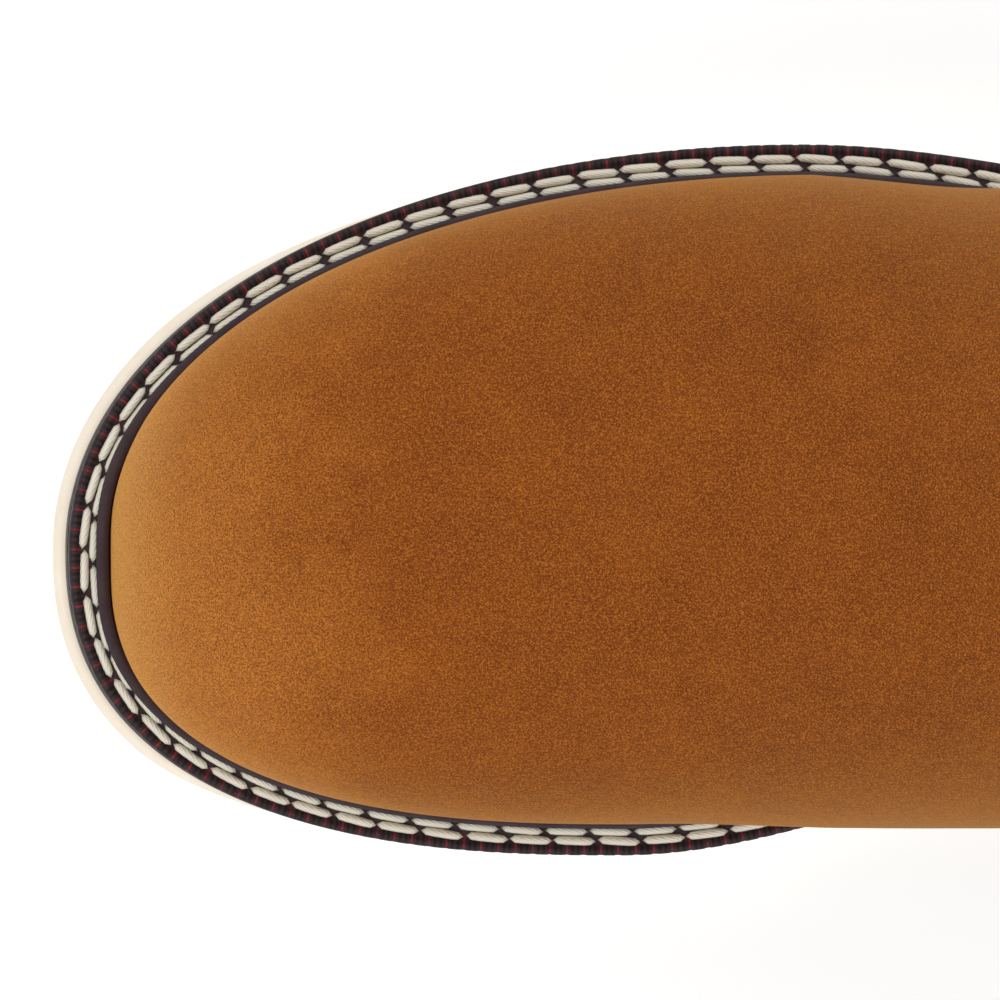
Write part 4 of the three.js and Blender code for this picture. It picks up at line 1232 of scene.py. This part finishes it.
class BOOT_OT_sole(bpy.types.Operator):
    """Makes the midsole and the cream wedge outsole with its grooved tread"""
    bl_idname = "boot.sole"
    bl_label = "Sole"

    def execute(self, context):
        flare = context.scene.boot_sizes.sole_flare / MM
        x, y, nx, ny, _run, _whole = feather_ring(6000)
        half = int(np.argmin(x))

        def outline(up, spread=0.0):
            """Plan outline of a level of the sole as x and y of the medial and lateral edges."""
            front = ease((nx - 0.2) / 0.5)
            ring = beside_sole(x, y, nx, ny, welt_width(x) + spread * front, up + 0 * x)
            return ring[:half + 1], np.vstack([ring[half:], ring[:1]])[::-1]

        count = 420
        bend = 0.5 - 0.5 * np.cos(np.linspace(0, math.pi, count + 1))
        across = np.linspace(0, 1, 33)

        def even(line):
            """The same edge with its points spaced alike on every level."""
            xs = line[0, 0] + (line[-1, 0] - line[0, 0]) * bend
            order = np.argsort(line[:, 0])
            others = [np.interp(xs, line[order, 0], line[order, axis]) for axis in (1, 2)]
            return np.stack([xs, *others], -1)

        def bridge(a, b, shares):
            return a[:, None] + (b - a)[:, None] * shares[None, :, None]

        def skin(name, loop):
            """A closed solid from one loop of points for every station along the sole."""
            columns = loop.shape[1] - 1

            def place(a, r):
                return loop[np.rint(r * count).astype(int), np.rint(a * columns).astype(int)]

            return face_out(blanket(name, columns, count, place))

        rim = -MIDSOLE - GAP
        # Height, how much of the flare, and how far the way down to the ground has come
        wall = [(rim, 0.0, 0.0), (rim - 0.5, 0.35, 0.0), (rim - 1.4, 0.5, 0.0),
                (rim - 1.4, 1.0, 0.25), (rim - 1.4, 1.0, 0.6), (rim - 1.4, 1.0, 0.92),
                (rim - 1.4, 0.75, 1.0)]
        rows = ([], [])
        for up, spread, share in wall:
            for line, edge in zip(outline(up, flare * spread), rows):
                line[:, 2] += (tread_z(line[:, 0]) - line[:, 2]) * share
                edge.append(even(line))
        medial, lateral = np.array(rows[0]), np.array(rows[1])

        def grooved(points):
            px, py = points[..., 0], points[..., 1]
            edge = np.minimum(np.abs(py - medial[-1][:, None, 1]), np.abs(py - lateral[-1][:, None, 1]))
            room = np.clip((edge - 8.6) / 0.8, 0, 1)
            off = np.abs((px - (HEEL_X + 6) + TREAD_PITCH / 2) % TREAD_PITCH - TREAD_PITCH / 2)
            dent = np.clip((TREAD_WIDTH / 2 + 0.3 - off) / 0.6, 0, 1)
            dent = dent * (px > HEEL_X + 4) * (px < TOE_X - 3)
            points[..., 2] = tread_z(px) + TREAD_DEPTH * dent * room
            return points

        snug = 0.5 - 0.5 * np.cos(np.linspace(0.15, math.pi - 0.15, 46))
        bottom = grooved(bridge(medial[-1], lateral[-1], np.concatenate([[0], snug, [1]])))
        top = bridge(lateral[0], medial[0], across)
        ob = skin("wedge_sole", np.concatenate([
            np.swapaxes(medial, 0, 1), bottom[:, 1:-1],
            np.swapaxes(lateral, 0, 1)[:, ::-1], top[:, 1:]], axis=1))
        finish_piece(ob, "cream_rubber", material_for("cream_wedge_rubber"), "wedge_outsole")

        rows = ([], [])
        for up, spread in ((-MIDSOLE, -0.1), (-MIDSOLE + 0.5, 0.12), (-0.6, 0.1), (0.0, -0.15)):
            for line, edge in zip(outline(up), rows):
                line[:, 1] += spread * np.sign(line[:, 1])
                edge.append(even(line))
        medial, lateral = np.array(rows[0]), np.array(rows[1])
        ob = skin("midsole_layer", np.concatenate([
            np.swapaxes(medial, 0, 1)[:, ::-1], bridge(medial[0], lateral[0], across)[:, 1:-1],
            np.swapaxes(lateral, 0, 1), bridge(lateral[-1], medial[-1], across)[:, 1:]], axis=1))
        finish_piece(ob, "dark_rubber", material_for("midsole_rubber"), "midsole")
        return {"FINISHED"}


class BOOT_OT_upper_stitching(bpy.types.Operator):
    """Sews the seams of the upper"""
    bl_idname = "boot.upper_stitching"
    bl_label = "Upper stitching"

    def execute(self, context):
        pitch = context.scene.boot_sizes.seam_pitch
        places = []

        def sew(side, x, z, depth, seed):
            side = np.full_like(x, side)
            spots = surface(side, x, z, depth) * MM
            places.extend(run_stitches(spots, outward(side, x, z), pitch, jitter=0.03, seed=seed))

        for side in (1.0, -1.0):
            for row, inset in enumerate((2.2, 5.0)):
                v = side * np.linspace(0.0, 0.97, 200)
                t = vamp_station(v, inset)
                spots = wrap(t, v, -0.12)
                normals = (wrap(t, v, -1.0) - spots) / 0.88
                places.extend(run_stitches(spots * MM, normals, pitch, jitter=0.03, seed=20 + row))
                share = 1 - np.cos(np.linspace(0, 1, 240) * math.pi / 2)
                x = back_x(100.0) + 1.2 + (-46.0 - back_x(100.0)) * share
                sew(side, x, counter_top_z(x) - inset, -0.12, 30 + row)
            for shift in (-2.6, 2.6):
                z = np.linspace(counter_top_z(-68.0) + 5, 248, 200)
                sew(side, seam_x(z) + shift, z, SHAFT_OUT - 0.12, 40)
            v = side * np.linspace(0.0, 1.0, 260)
            spots = wrap(collar_station(v, -6.0), v, 1.05)
            normals = wrap(collar_station(v, -6.0), v, 0.05) - spots
            places.extend(run_stitches(spots * MM, normals, pitch, jitter=0.03, seed=50))
        ob = stitches("upper_stitches", places, pitch / MM * 0.8, 0.34, dip=0.2, along=5, around=5)
        finish_piece(ob, "thread", material_for("upper_thread"))
        return {"FINISHED"}


class BOOT_OT_pull_loops(bpy.types.Operator):
    """Makes the two webbing pull loops and the tails that hold them"""
    bl_idname = "boot.pull_loops"
    bl_label = "Pull loops"

    def execute(self, context):
        webbing = material_for("loop_webbing")
        loop_x = float(seam_x(COLLAR_SIDE))
        hem_radius, strap_foot = 0.7, 1.2

        def drop(wide, low, high, s):
            """Half of the loop's outline, from its foot up to the middle of its top."""
            belly = (wide, high * 0.68)
            left = bezier(s * 2, (0, low), (wide * 0.3, low + (high - low) * 0.25),
                          (wide, high * 0.42), belly)
            right = bezier(s * 2 - 1, belly, (wide, high * 0.88), (wide * 0.6, high), (0, high))
            return np.where((s < 0.5)[..., None], left, right)

        for name, side in (("pull_loop_medial", 1), ("pull_loop_lateral", -1)):
            def strap(a, r, side=side):
                s = 1 - np.abs(2 * r - 1)
                hand = np.where(r < 0.5, 1.0, -1.0)
                path = drop(LOOP_INSIDE + WEBBING / 2, strap_foot, LOOP_HEIGHT - WEBBING / 2, s)
                y = side * LOOP_ROOT_Y + hand * (path[..., 0] + 0.66 * (1 - s) ** 6)
                return np.stack([loop_x + (a - 0.5) * LOOP_WIDTH, y, LOOP_ROOT_Z + path[..., 1]], -1)

            ob = blanket(name + "_strap", 12, 90, strap, spread=(1.0, 3.0))
            root = Matrix.Translation(Vector((loop_x, side * LOOP_ROOT_Y, LOOP_ROOT_Z)) * MM)
            with opened(ob) as bm:
                bmesh.ops.solidify(bm, geom=bm.faces[:], thickness=WEBBING * 0.92 * MM)
                bmesh.ops.create_cone(bm, cap_ends=True, segments=20, radius1=hem_radius * MM,
                                      radius2=hem_radius * MM, depth=LOOP_WIDTH * MM,
                                      matrix=root @ Matrix.Rotation(math.pi / 2, 4, "Y"))
            face_out(ob)
            finish_piece(soften(ob, 0.3, 60), "webbing", webbing, name, body=name)

            def tail(a, r, side=side):
                low, high = COLLAR_SIDE - BINDING_HEIGHT - LOOP_TAIL, LOOP_ROOT_Z - 1.6
                x = loop_x + (a - 0.5) * LOOP_WIDTH
                return surface(np.full_like(a, side), x, low + (high - low) * r, 7.2)

            tail_name = name.replace("pull_loop", "loop_tail")
            ob = panel(tail_name + "_webbing", 12, 20, tail, WEBBING, edge=0.25)
            finish_piece(ob, "webbing", webbing, tail_name)
        return {"FINISHED"}


class BOOT_OT_footbed(bpy.types.Operator):
    """Makes the padded footbed with its cloth cover"""
    bl_idname = "boot.footbed"
    bl_label = "Footbed"

    def execute(self, context):
        stations, inset = 720, 8.1
        x, y, nx, ny, _run, _whole = feather_ring(stations)
        border = beside_sole(x, y, nx, ny, -inset + 0 * x, 0 * x)
        # From the middle of the underside out to the rim, up, and back to the middle of the top
        path = np.array([(0.0, 0.0), (0.55, 0.0), (1.0, 0.0), (1.0, 0.15), (1.0, 0.85), (0.97, 1.0),
                         (0.55, 1.0), (0.0, 1.0)])

        def bed(name, low, high, material, slot, node):
            def place(a, r):
                edge = border[np.rint(r * stations).astype(int) % stations]
                share, lift = (
                    np.interp(a, np.linspace(0, 1, len(path)), path[:, axis]) for axis in (0, 1))
                middle_x = np.clip(edge[:, 0], HEEL_X + 36, TOE_X - 46)
                middle_y = between(0, 6, (middle_x - 20) / 80)
                px = middle_x + (edge[:, 0] - middle_x) * share
                py = middle_y + (edge[:, 1] - middle_y) * share
                height = low + (high - low) * lift
                up_x, up_z = sole_up(px)
                return np.stack([px + up_x * height, py, feather_z(px) + up_z * height], -1)

            ob = face_out(blanket(name, 28, stations, place, spread=(1.0, 8.0)))
            fill_ends(ob, 1e-5)
            finish_piece(ob, slot, material_for(material), node, body="footbed")

        bed("footbed_pad", 6.6, 11.0, "footbed_foam", "foam", "footbed_foam")
        bed("footbed_top_cloth", 11.3, 12.1, "lining_mesh", "lining", "footbed_cover")
        return {"FINISHED"}


class BOOT_OT_hidden_parts(bpy.types.Operator):
    """Gives the parts inside the boot their finishes"""
    bl_idname = "boot.hidden_parts"
    bl_label = "Inner parts"

    def execute(self, context):
        kinds = {
            "steel_toe_cap": "pressed_steel", "steel_shank": "pressed_steel",
            "toe_cap_guard": "footbed_foam", "vamp_interlining": "insole_board",
            "heel_counter": "insole_board", "insole_rib": "insole_board",
            "insole_board": "insole_board", "cork_filler": "ground_cork",
        }
        for node, kind in kinds.items():
            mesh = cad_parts[node].data
            mesh.materials.clear()
            mesh.materials.append(material_for(kind))
        return {"FINISHED"}


PIECES = (
    BOOT_OT_stage, BOOT_OT_upper, BOOT_OT_lining, BOOT_OT_trim, BOOT_OT_welt, BOOT_OT_welt_stitching,
    BOOT_OT_sole, BOOT_OT_upper_stitching, BOOT_OT_pull_loops, BOOT_OT_footbed, BOOT_OT_hidden_parts,
)


class BOOT_PT_pieces(bpy.types.Panel):
    """Lists the boot's pieces, sizes and colours"""
    bl_label = "Work boot"
    bl_space_type = "VIEW_3D"
    bl_region_type = "UI"
    bl_category = "Boot"

    def draw(self, context):
        for group in (context.scene.boot_sizes, context.scene.boot_colours):
            for key in group.__annotations__:
                self.layout.prop(group, key)
        for piece in PIECES:
            self.layout.operator(piece.bl_idname)


CLASSES = (BootSizes, BootColours, *PIECES, BOOT_PT_pieces)


def register():
    for one in CLASSES:
        bpy.utils.register_class(one)
    bpy.types.Scene.boot_sizes = bpy.props.PointerProperty(type=BootSizes)
    bpy.types.Scene.boot_colours = bpy.props.PointerProperty(type=BootColours)


def unregister():
    del bpy.types.Scene.boot_colours
    del bpy.types.Scene.boot_sizes
    for one in reversed(CLASSES):
        bpy.utils.unregister_class(one)


def main():
    register()
    for piece in PIECES:
        group, name = piece.bl_idname.split(".")
        getattr(getattr(bpy.ops, group), name)()
    bpy.context.view_layer.update()


if __name__ == "__main__":
    main()
